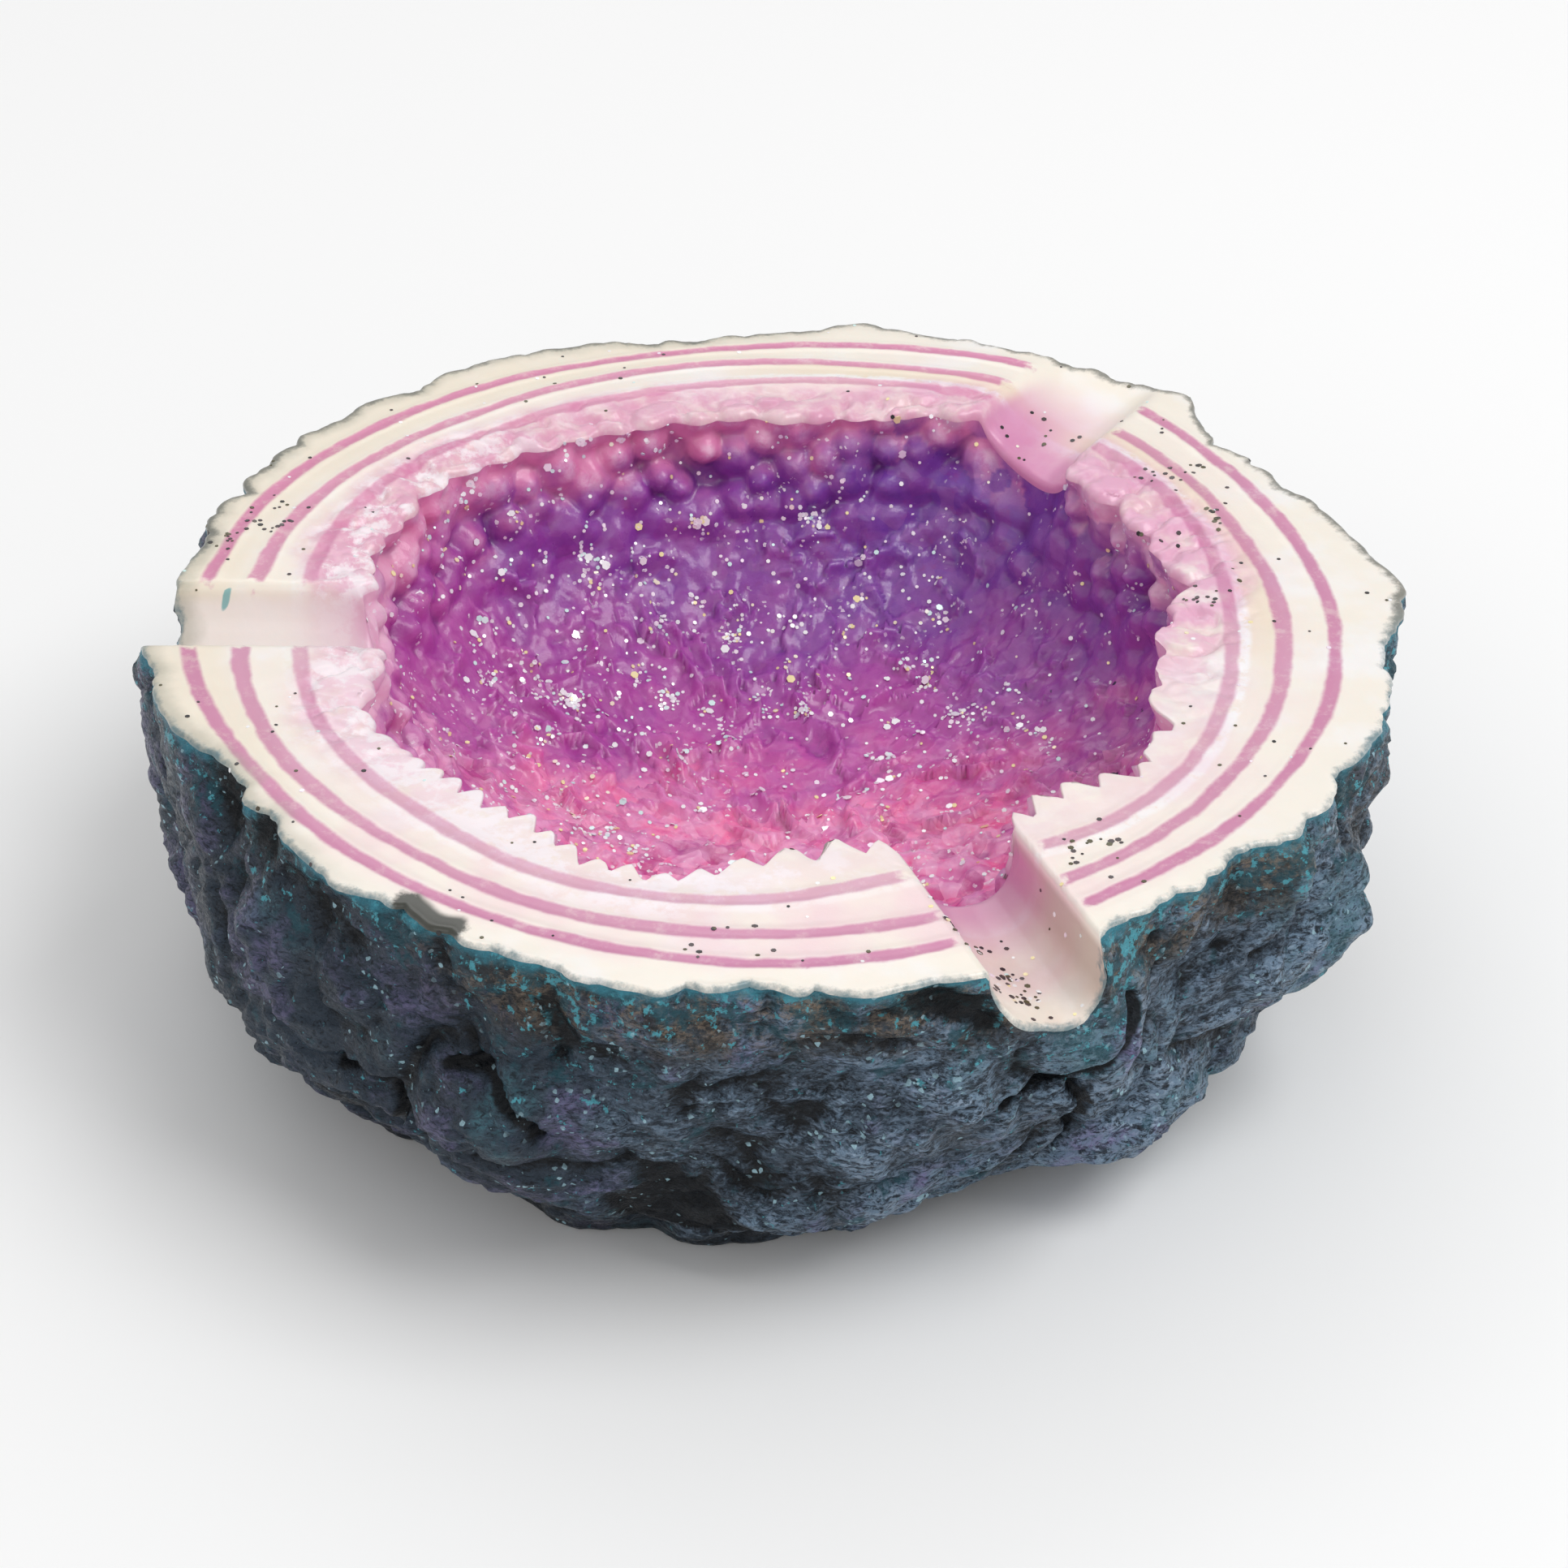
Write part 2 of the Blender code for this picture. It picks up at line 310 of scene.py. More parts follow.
def evenly(x, z, count):
    """The same curve, by equal steps along it."""
    length = np.concatenate([[0.0], np.cumsum(np.hypot(np.diff(x), np.diff(z)))])
    even = np.linspace(0.0, length[-1], count)
    return np.interp(even, length, x), np.interp(even, length, z)


SECTIONS = [section_table(rounding) for rounding in REST_ROUNDINGS]


def in_table(table, depth, place):
    """Bilinear look-up; place runs from -1 to 1 across the rest."""
    row = np.clip((depth - DEPTHS[0]) / (DEPTHS[1] - DEPTHS[0]), 0.0, len(DEPTHS) - 1.001)
    column = np.clip((place + 1.0) * 0.5 * SECTION_STEPS, 0.0, SECTION_STEPS - 0.001)
    i, j = row.astype(int), column.astype(int)
    a, b = row - i, column - j
    top = table[i, j] * (1.0 - b) + table[i, j + 1] * b
    low = table[i + 1, j] * (1.0 - b) + table[i + 1, j + 1] * b
    return top * (1.0 - a) + low * a


def rest_depth(shape, along):
    slope = (shape.rock_depth - shape.bowl_depth) / (REST_ROCK_SIDE - REST_BOWL_SIDE)
    depth = shape.bowl_depth + slope * (along - REST_BOWL_SIDE)
    return np.maximum(depth, LEAST_DEPTH)


COLUMN_ANGLE = np.arange(COLUMNS) * TURN / COLUMNS
REST_OF = np.full(COLUMNS, -1)  # the rest that a column belongs to
REST_PLACE = np.zeros(COLUMNS)  # -1 to 1 across it, and beyond where it only leans towards it
REST_LEAN = np.zeros(COLUMNS)
for number, one in enumerate(RESTS):
    off = wrapped(COLUMN_ANGLE - math.radians(one.direction))
    near = np.abs(off) < REST_FADE
    REST_OF[near] = number
    REST_PLACE[near] = off[near] / REST_TURN
    REST_LEAN[near] = 1.0 - smooth(REST_TURN, REST_FADE, np.abs(off[near]))


def place_column(column, inner, outer, share):
    """Angle, radius, rest depth here and sideways place of points between two radii.

    column picks the columns, inner and outer are their radii, and share runs from 0 to 1.
    """
    radius = inner + (outer - inner) * share
    angle = COLUMN_ANGLE[column].copy()
    down = np.zeros(len(column))
    aside = np.full(len(column), 1.0)
    for number, shape in enumerate(RESTS):
        mine = REST_OF[column] == number
        if not mine.any():
            continue
        middle = math.radians(shape.direction)
        place = REST_PLACE[column][mine]
        r = radius[mine]
        scale = shape.width / 2 / HALF_WIDTH
        theta = angle[mine]
        for _ in range(3):
            depth = rest_depth(shape, r * np.cos(theta - middle))
            within = np.clip(place, -1.0, 1.0)
            v = in_table(SECTIONS[number][0], depth, within) * scale
            sink = in_table(SECTIONS[number][1], depth, within)
            v = v + (place - within) * REST_TURN * MIDDLE_RADIUS
            v = v + shape.drift * np.where(depth > 0.0, sink / depth, 0.0) * (1.0 - 0.35 * np.abs(within))
            theta = middle + np.arcsin(np.clip(v / r, -0.7, 0.7))
        lean = REST_LEAN[column][mine]
        own = COLUMN_ANGLE[column][mine]
        angle[mine] = own + wrapped(theta - own) * lean
        down[mine] = np.where(np.abs(place) <= 1.0, sink, 0.0)
        aside[mine] = np.abs(v) - shape.width / 2
    return angle, radius, down, aside


# ---------------------------------------------------------------- the crystals
Crystal = namedtuple("Crystal", "at normal tall wide turn tilt")
PITCH = 0.00285
# Teeth along the lip, as sorts: up to this direction in degrees, their spacing, height and half width.
LIP_TEETH = (
    (22, 0.0080, 0.0034, 0.0052),
    (150, 0.0046, 0.0022, 0.0032),
    (192, 0.0050, 0.0026, 0.0034),
    (243, 0.0031, 0.0027, 0.0020),
    (266, 0.0045, 0.0042, 0.0028),
    (301, 0.0042, 0.0036, 0.0026),
    (361, 0.0078, 0.0036, 0.0052),
)


def bowl_profile():
    """Share of the lip's radius and of the depth along the bowl's wall, by equal steps."""
    turn = np.linspace(0.0, math.pi / 2, 4000)
    x, z = np.cos(turn), np.sin(turn)
    swell = (x**SQUARENESS + z**SQUARENESS) ** (-1.0 / SQUARENESS)
    x, z = x * swell, z * swell
    lengths = np.hypot(np.diff(x) * LIP_RADIUS_ABOUT, np.diff(z) * BOWL_DEPTH)
    length = np.concatenate([[0.0], np.cumsum(lengths)])
    even = np.linspace(0.0, length[-1], len(WALL_STEPS))
    return np.interp(even, length, x), np.interp(even, length, z)


WALL_STEPS = np.linspace(0.0, 1.0, 1001)
WALL_ACROSS, WALL_DOWN = bowl_profile()


def bowl_points(angle, along):
    """Points of the bowl's smooth wall and their normals; along is 0 at the lip, 1 at the middle."""
    lip = lobed_oval(angle, LIP_HALF_WIDTH, LIP_HALF_DEPTH, LIP_LOBES)
    across = np.interp(along, WALL_STEPS, WALL_ACROSS)
    down = np.interp(along, WALL_STEPS, WALL_DOWN)
    heading = np.stack([np.cos(angle), np.sin(angle)], axis=1)
    points = np.column_stack([heading * (lip * across)[:, None], RIM_HEIGHT - BOWL_DEPTH * down])
    side = across ** (SQUARENESS - 1.0) / lip
    up = down ** (SQUARENESS - 1.0) / BOWL_DEPTH
    size = np.hypot(side, up)
    normals = np.column_stack([-heading * (side / size)[:, None], up / size])
    return points, normals


def grow_crystals():
    dice = np.random.RandomState(23)
    seats = []

    def free(point, gap):
        return not seats or np.min(np.linalg.norm(np.array([s[0] for s in seats]) - point, axis=1)) > gap

    # A row of teeth along the lip, each sort with its own spacing.
    degrees = 0.0
    while degrees < 359.0:
        gap, tall, wide = next(row[1:] for row in LIP_TEETH if degrees < row[0])
        angle = np.array([math.radians(degrees)])
        point, normal = bowl_points(angle, np.array([0.012 + 0.010 * dice.rand()]))
        tall *= 0.85 + 0.4 * dice.rand()
        wide *= 0.9 + 0.2 * dice.rand()
        seats.append((point[0], normal[0], tall, wide))
        degrees += math.degrees(gap / 0.0455) * (0.85 + 0.3 * dice.rand())
    # The rest of the wall and the floor, as closely as the sizes let them stand.
    for _ in range(14000):
        angle = np.array([dice.rand() * TURN])
        along = np.array([dice.rand()])
        point, normal = bowl_points(angle, along)
        if dice.rand() > np.hypot(point[0][0], point[0][1]) / 0.052 + 0.06:
            continue
        big = 0.5 + 0.5 * noise.noise((point[0] / 0.012 + 3.0).tolist())
        high = smooth(0.45, 0.10, along[0])
        gap = PITCH * (0.62 + 0.62 * big * dice.rand() + 0.45 * high * dice.rand() + 0.15)
        if not free(point[0], gap):
            continue
        tall = 0.0007 + 0.0016 * big * (0.4 + 0.9 * dice.rand()) + 0.0012 * high
        # The far part of the floor and of the wall's foot is almost smooth.
        away = 0.935 * point[0][1] + 0.355 * point[0][0]
        tall *= 1.0 - 0.74 * smooth(-0.012, 0.006, away) * smooth(0.16, 0.32, along[0])
        seats.append((point[0], normal[0], tall, gap * (0.80 + 0.22 * dice.rand())))
    return [Crystal(*seat, dice.rand() * TURN, dice.uniform(-0.34, 0.34, 2)) for seat in seats]


CRYSTALS = grow_crystals()
TREE = kdtree.KDTree(len(CRYSTALS))
for number, one in enumerate(CRYSTALS):
    TREE.insert(one.at.tolist(), number)
TREE.balance()
SEAT, UPWARD, TALL, WIDE, SPIN, TILT = (np.array(row) for row in zip(*CRYSTALS))
FIRST = np.cross(UPWARD, np.array([0.31, 0.17, 0.93]))
FIRST /= np.linalg.norm(FIRST, axis=1)[:, None]
SECOND = np.cross(UPWARD, FIRST)
FACETS = 6
LEAN_DICE = np.random.RandomState(5)
FACET_TURN = LEAN_DICE.uniform(-0.22, 0.22, (len(CRYSTALS), FACETS))
FACET_REACH = LEAN_DICE.uniform(0.80, 1.15, (len(CRYSTALS), FACETS))
HUE = LEAN_DICE.rand(len(CRYSTALS))
# The front's teeth are pointed; the far crystals are rounded lumps.
SHARP_EDGE, SOFT_EDGE = 0.00025, 0.00075
LUMP = smooth(-0.033, -0.012, SEAT[:, 1] + 0.35 * np.maximum(SEAT[:, 0], 0.0))
ROUND = SHARP_EDGE + SOFT_EDGE * LUMP
STEEP = 1.55  # the slope of a crystal's sides
NEIGHBOURS = 5


def crystal_field(points):
    """How far the crystals stand above the bowl's wall, and the top one's share of height and hue."""
    nearest = np.array([[found[1] for found in TREE.find_n(row, NEIGHBOURS)] for row in points.tolist()])
    away = points[:, None, :] - SEAT[nearest]
    x = np.einsum("ijk,ijk->ij", away, FIRST[nearest])
    y = np.einsum("ijk,ijk->ij", away, SECOND[nearest])
    wide = WIDE[nearest]
    worst = np.full(x.shape, -1.0)
    for facet in range(FACETS):
        angle = SPIN[nearest] + facet * TURN / FACETS + FACET_TURN[nearest, facet]
        reach = (x * np.cos(angle) + y * np.sin(angle)) / (wide * FACET_REACH[nearest, facet])
        worst = np.maximum(worst, reach)
    lump = LUMP[nearest]  # 0 for a faceted crystal, 1 for a rounded lump
    worst = worst + (0.92 * np.hypot(x, y) / wide - worst) * lump
    side = STEEP * wide * (1.0 - worst)
    top = TALL[nearest] + x * TILT[nearest, 0] + y * TILT[nearest, 1]
    soft = ROUND[nearest]
    lower = np.minimum(side, top)
    height = lower - 0.25 * np.maximum(soft - np.abs(side - top), 0.0) ** 2 / soft
    dome = top * (1.0 - np.minimum(worst, 1.6) ** 2)
    height = height + (dome - height) * lump
    order = np.sort(height, axis=1)
    best, second = order[:, -1], order[:, -2]
    owner = nearest[np.arange(len(points)), np.argmax(height, axis=1)]
    blend = 1.3 * ROUND[owner]
    total = best + 0.25 * np.maximum(blend - np.abs(best - second), 0.0) ** 2 / blend
    crest = np.clip(total / TALL[owner], 0.0, 1.2)
    grain = 0.00030 * sampled(noise.noise, points, 0.0021, (3.0, 1.0, 6.0))
    grain += 0.00022 * sampled(noise.noise, points, 0.0011, (5.0, 8.0, 2.0))
    return np.maximum(total + grain, 0.0), crest, HUE[owner]


# ---------------------------------------------------------------- where each column meets lip and rock
def column_ends():
    """Per column: the angle, rest depth and clearance from a rest, at the rock and at the lip."""
    columns = np.arange(COLUMNS)
    count = 3600
    fine = np.arange(count) * TURN / count
    outline, _ = rock_points(fine, np.full(count, RIM_HEIGHT), detail=False)
    outline_turn = np.unwrap(np.arctan2(outline[:, 1], outline[:, 0]))
    outline_reach = np.hypot(outline[:, 0], outline[:, 1])
    lip_reach = lobed_oval(fine, LIP_HALF_WIDTH, LIP_HALF_DEPTH, LIP_LOBES)

    def reach_of(angle, turns, reaches):
        return np.interp((angle - turns[0]) % TURN + turns[0], turns, reaches, period=TURN)

    ends = []
    for turns, reaches in ((outline_turn, outline_reach), (fine, lip_reach)):
        angle = COLUMN_ANGLE.copy()
        for _ in range(4):
            radius = reach_of(angle, turns, reaches)
            angle, _, down, aside = place_column(columns, radius, radius, 1.0)
        ends.append((angle, down, aside))
    return ends


(OUT_ANGLE, OUT_DOWN, _), (IN_ANGLE, IN_DOWN, IN_ASIDE) = column_ends()


def edge_of_rock():
    """The outline's points: on the rock's side, at the height where each column leaves it."""
    height = RIM_HEIGHT - RIM_DROP - OUT_DOWN - ROCK_CORNER
    points, _ = rock_points(OUT_ANGLE, height)
    return points


ROCK_EDGE = edge_of_rock()
EDGE_RADIUS = np.hypot(ROCK_EDGE[:, 0], ROCK_EDGE[:, 1])


def along_at(down):
    return np.interp(down / BOWL_DEPTH, WALL_DOWN, WALL_STEPS)


def tooth_calm(aside):
    """Crystals are cut smooth beside a rest."""
    return smooth(0.0002, 0.0016, aside)


def bowl_surface(angle, along, calm):
    points, normals = bowl_points(angle, along)
    grown, crest, hue = crystal_field(points)
    return points + normals * (grown * calm)[:, None], crest, hue


# The lip is crisp in front, softer at the sides and back, and soft in the rests' mouths.
LIP_DEGREES = np.degrees(IN_ANGLE) % 360.0
FRONT_LIP = smooth(192.0, 206.0, LIP_DEGREES) * (1.0 - smooth(330.0, 350.0, LIP_DEGREES))
LIP_ROUND = SOFT_LIP + (LIP_CORNER - SOFT_LIP) * FRONT_LIP
LIP_ROUND = LIP_ROUND + (MOUTH_CORNER - LIP_ROUND) * smooth(0.0003, 0.003, IN_DOWN)
LIP_START = along_at(IN_DOWN + LIP_ROUND + RIM_DROP)
LIP_EDGE, _, _ = bowl_surface(IN_ANGLE, LIP_START, tooth_calm(IN_ASIDE))
LIP_RADIUS = np.hypot(LIP_EDGE[:, 0], LIP_EDGE[:, 1])


# ---------------------------------------------------------------- meshes from rings
UV_REACH = 0.485


def shown(name, data):
    """A new object in the scene for this mesh, light or camera."""
    made = bpy.data.objects.new(name, data)
    bpy.context.scene.collection.objects.link(made)
    return made


class Rings:
    """Rings of points, each with its radius on the UV disc and facts for each point."""

    def __init__(self, *facts):
        self.points, self.radii = [], []
        self.facts = {fact: [] for fact in facts}

    def add(self, points, radius, *values):
        self.points.append(points)
        self.radii.append(radius)
        for rows, row in zip(self.facts.values(), values):
            rows.append(row)

    def close(self, point):
        """A last ring of one point, the hub."""
        self.add(point[None, :], 0.0, *[rows[-1][-1:] for rows in self.facts.values()])


def grid_mesh(name, rings, flip=False):
    """A mesh from rings, each as long as the one before it, half as long, or a hub."""
    counts = [len(ring) for ring in rings.points]
    starts = np.concatenate([[0], np.cumsum(counts)]).tolist()
    faces, corner_uv = [], []

    def add_face(*corners):
        """Each corner is a ring and a column, which may run past the last one, back to the first."""
        corners = corners[::-1] if flip else corners
        faces.append([starts[ring] + column % counts[ring] for ring, column in corners])
        for ring, column in corners:
            turn, reach = column * TURN / counts[ring], UV_REACH * rings.radii[ring]
            corner_uv.append((0.5 + reach * math.cos(turn), 0.5 + reach * math.sin(turn)))

    for ring in range(len(counts) - 1):
        here, there = counts[ring], counts[ring + 1]
        for j in range(here if there == 1 else there):
            if there == here:
                add_face((ring, j), (ring, j + 1), (ring + 1, j + 1), (ring + 1, j))
            elif there == 1:
                add_face((ring, j), (ring, j + 1), (ring + 1, 0))
            else:
                p = 2 * j
                add_face((ring, p), (ring, p + 1), (ring + 1, j))
                add_face((ring, p + 1), (ring + 1, j + 1), (ring + 1, j))
                add_face((ring, p + 1), (ring, p + 2), (ring + 1, j + 1))
    mesh = bpy.data.meshes.new(name)
    mesh.from_pydata(np.concatenate(rings.points).tolist(), [], faces)
    layer = mesh.uv_layers.new(name="OFBake")
    layer.data.foreach_set("uv", np.array(corner_uv, dtype=np.float32).ravel())
    for fact, rows in rings.facts.items():
        data = np.concatenate(rows).astype(np.float32)
        mesh.attributes.new(fact, "FLOAT", "POINT").data.foreach_set("value", data)
    mesh.polygons.foreach_set("use_smooth", [True] * len(mesh.polygons))
    mesh.update()
    return shown(name, mesh)


# Radius in millimetres of the painted lines by direction in degrees: outer, middle and inner line.
LINES = (
    (0, 56.8, 51.5, 47.8), (10, 58.0, 52.8, 49.0), (20, 59.8, 54.5, 50.5), (28, 62.0, 56.0, 52.0),
    (44, 65.2, 60.0, 56.0), (60, 64.5, 59.3, 54.9), (75, 63.2, 59.6, 54.2), (90, 63.0, 58.8, 53.5),
    (105, 62.8, 57.6, 53.0), (120, 62.2, 57.2, 52.9), (135, 61.5, 56.5, 51.6), (150, 60.2, 55.2, 49.8),
    (160, 60.6, 55.2, 49.2), (168, 60.4, 55.2, 49.0), (180, 59.2, 55.3, 49.8), (190, 58.9, 55.7, 50.2),
    (200, 59.3, 55.8, 50.5), (210, 60.2, 56.0, 51.0), (222, 61.1, 57.5, 53.0), (235, 62.4, 58.5, 53.6),
    (247, 63.0, 58.5, 53.0), (256, 62.5, 57.8, 51.3), (263, 61.7, 57.2, 49.3), (276, 60.0, 55.7, 49.6),
    (285, 58.8, 55.0, 50.3), (300, 57.5, 53.0, 49.0), (315, 56.8, 52.0, 47.0), (330, 56.2, 51.0, 45.8),
    (345, 56.2, 51.0, 45.8),
)


def line_radii(angle):
    """The three lines' radii at each angle, rounded through the table."""
    table = np.array(LINES)
    degrees = np.arange(360.0)
    rows = []
    for column in (1, 2, 3):
        radii = np.interp(degrees, table[:, 0], table[:, column], period=360.0) * 0.001
        kernel = np.exp(-0.5 * (np.arange(-12, 13) / 4.0) ** 2)
        radii = np.convolve(np.concatenate([radii[-12:], radii, radii[:12]]), kernel / kernel.sum(), "valid")
        rows.append(np.interp(np.degrees(angle) % 360.0, degrees, radii, period=360.0))
    return rows


def paint_facts(points):
    """For the rim's paint: distances from the outline, the lip, the nearest rest, its mouth and the lines."""
    angle = np.arctan2(points[:, 1], points[:, 0])
    radius = np.hypot(points[:, 0], points[:, 1])
    edge_angle = np.arctan2(ROCK_EDGE[:, 1], ROCK_EDGE[:, 0])
    inset = np.interp(angle, edge_angle, EDGE_RADIUS, period=TURN) - radius
    lines = [line - radius for line in line_radii(angle)]
    lip = radius - lobed_oval(angle, LIP_HALF_WIDTH, LIP_HALF_DEPTH, LIP_LOBES)
    gap, mouth = np.full(len(points), 1.0), np.full(len(points), 1.0)
    for shape in RESTS:
        middle = math.radians(shape.direction)
        along = points[:, 0] * math.cos(middle) + points[:, 1] * math.sin(middle)
        side = -points[:, 0] * math.sin(middle) + points[:, 1] * math.cos(middle)
        gap = np.where(along > 0.02, np.minimum(gap, np.abs(side) - shape.width / 2), gap)
        mouth = np.where((along > 0.02) & (np.abs(side) < 0.008), lip, mouth)
    return (inset, lip, gap, mouth, *lines)


def make_rock():
    rings = Rings("relief", "height")
    top = ROCK_EDGE[:, 2]
    for ring in range(ROCK_RINGS + 1):
        share = ring / ROCK_RINGS  # 0 at the rim, 1 at the foot's edge
        angle = COLUMN_ANGLE + wrapped(OUT_ANGLE - COLUMN_ANGLE) * (1.0 - smooth(0.0, 0.55, share))
        height = top + (FOOT_CORNER - top) * share
        points, relief = rock_points(angle, height)
        rings.add(points if ring else ROCK_EDGE, 1.0 - 0.50 * share, relief, height)
    # Round the foot's corner, then in to its middle with ever fewer columns.
    edge = rings.points[-1]
    centre = np.array([edge[:, 0].mean(), edge[:, 1].mean(), 0.0])
    foot_radius = np.hypot(edge[:, 0] - centre[0], edge[:, 1] - centre[1])
    heading = (edge[:, :2] - centre[:2]) / foot_radius[:, None]
    for step in range(1, CORNER_STEPS + 1):
        turn = step / CORNER_STEPS * QUARTER
        radius = foot_radius - FOOT_CORNER * (1.0 - math.cos(turn))
        height = np.full(COLUMNS, FOOT_CORNER * (1.0 - math.sin(turn)))
        points = np.column_stack([centre[:2] + heading * radius[:, None], height])
        rings.add(points, 0.50 - 0.01 * step, relief * 0.5, height)
    count, share = COLUMNS, 1.0
    while count > FEWEST_COLUMNS:
        count //= 2
        share *= 0.62
        heading, foot_radius = heading[::2], foot_radius[::2]
        flat = np.zeros(count)
        radius = (foot_radius - FOOT_CORNER) * share
        points = np.column_stack([centre[:2] + heading * radius[:, None], flat])
        rings.add(points, 0.46 * share, flat, flat)
    rings.close(centre)
    rings.facts["crack"] = [crack_depth(points) * (points[:, 2] > 0.0) for points in rings.points]
    return grid_mesh("geode_rock", rings, flip=True)


RIM_FACTS = ("inset", "lip", "gap", "mouth", "outer", "middle", "inner")


def rim_waves(points):
    """The rim's slight unevenness, with a low ridge along each side of a painted line."""
    waves = sampled(noise.noise, points, 0.0090, (5.0, 2.0, 1.0)) * 0.00010
    waves += sampled(noise.noise, points, 0.0028, (1.0, 7.0, 3.0)) * 0.00004
    for off in paint_facts(points)[4:]:
        for side in (-0.0009, 0.0009):
            waves += 0.00010 * np.exp(-0.5 * ((off - side) / 0.00032) ** 2)
    return waves


def lip_creases(points):
    """Creases between the lumps that reach onto the rim beside the bowl, all round but in front."""
    lip, degrees = paint_facts(points)[1], degrees_round(points)
    where = 1.0 - smooth(176.0, 200.0, degrees) * (1.0 - smooth(308.0, 330.0, degrees))
    lumps = np.abs(sampled(noise.noise, points, 0.0052, (2.0, 6.0, 1.0)))
    lumps += 0.45 * np.abs(sampled(noise.noise, points, 0.0024, (7.0, 3.0, 4.0)))
    return 0.0011 * where * smooth(0.0062, 0.0004, lip) * np.clip(1.0 - 2.4 * lumps, 0.0, 1.0)


def corner_rings(edge, flat, down):
    """Rings that round the corner from an edge up to the rim's own ring there."""
    made = []
    for step in range(CORNER_STEPS):
        turn = step / CORNER_STEPS * QUARTER
        rise = 1.0 - math.cos(turn)
        made.append((edge + (flat - edge) * np.array([rise, rise, math.sin(turn)]), down))
    return made


def make_rim():
    rows = []
    for share in np.linspace(0.0, 1.0, RIM_RINGS + 1):
        angle, radius, down, _ = place_column(
            np.arange(COLUMNS), LIP_RADIUS + LIP_ROUND, EDGE_RADIUS - ROCK_CORNER, np.full(COLUMNS, share)
        )
        # The ends keep the very angles of the edges they join.
        angle = IN_ANGLE if share == 0.0 else OUT_ANGLE if share == 1.0 else angle
        height = RIM_HEIGHT - RIM_DROP - down
        points = np.column_stack([radius * np.cos(angle), radius * np.sin(angle), height])
        calm = smooth(0.0, 0.03, share) * smooth(0.0, 0.03, 1.0 - share)
        level = 1.0 - smooth(0.0, 0.0005, down)
        points[:, 2] += (rim_waves(points) * calm - lip_creases(points)) * level
        rows.append((points, down))
    rows = corner_rings(LIP_EDGE, *rows[0]) + rows + corner_rings(ROCK_EDGE, *rows[-1])[::-1]
    rings = Rings(*RIM_FACTS, "down")
    for (points, down), radius in zip(rows, np.linspace(0.62, 1.0, len(rows))):
        rings.add(points, radius, *paint_facts(points), down)
    return grid_mesh("geode_rim", rings, flip=True)


def make_bowl():
    rings = Rings("crest", "hue")
    for ring in range(BOWL_RINGS - 1):
        position = ring / BOWL_RINGS  # 0 at the lip, 1 in the middle
        keep = slice(None, None, 2 ** sum(position > halving for halving in BOWL_HALVINGS))
        start, own = LIP_START[keep], COLUMN_ANGLE[keep]
        along = position + start * (1.0 - position) ** 1.6
        angle = own + wrapped(IN_ANGLE[keep] - own) * (1.0 - smooth(0.0, 0.4, position))
        if ring == 0:
            angle = IN_ANGLE  # the very angles of the rim's lip
        calm = np.maximum(tooth_calm(IN_ASIDE[keep]), smooth(0.0, 0.13, along - start))
        points, crest, hue = bowl_surface(angle, along, calm)
        rings.add(points, 1.0 - position, crest, hue)
    middle, _, _ = bowl_surface(np.array([0.0]), np.array([1.0]), np.array([1.0]))
    rings.close(middle[0])
    return grid_mesh("geode_crystals", rings)


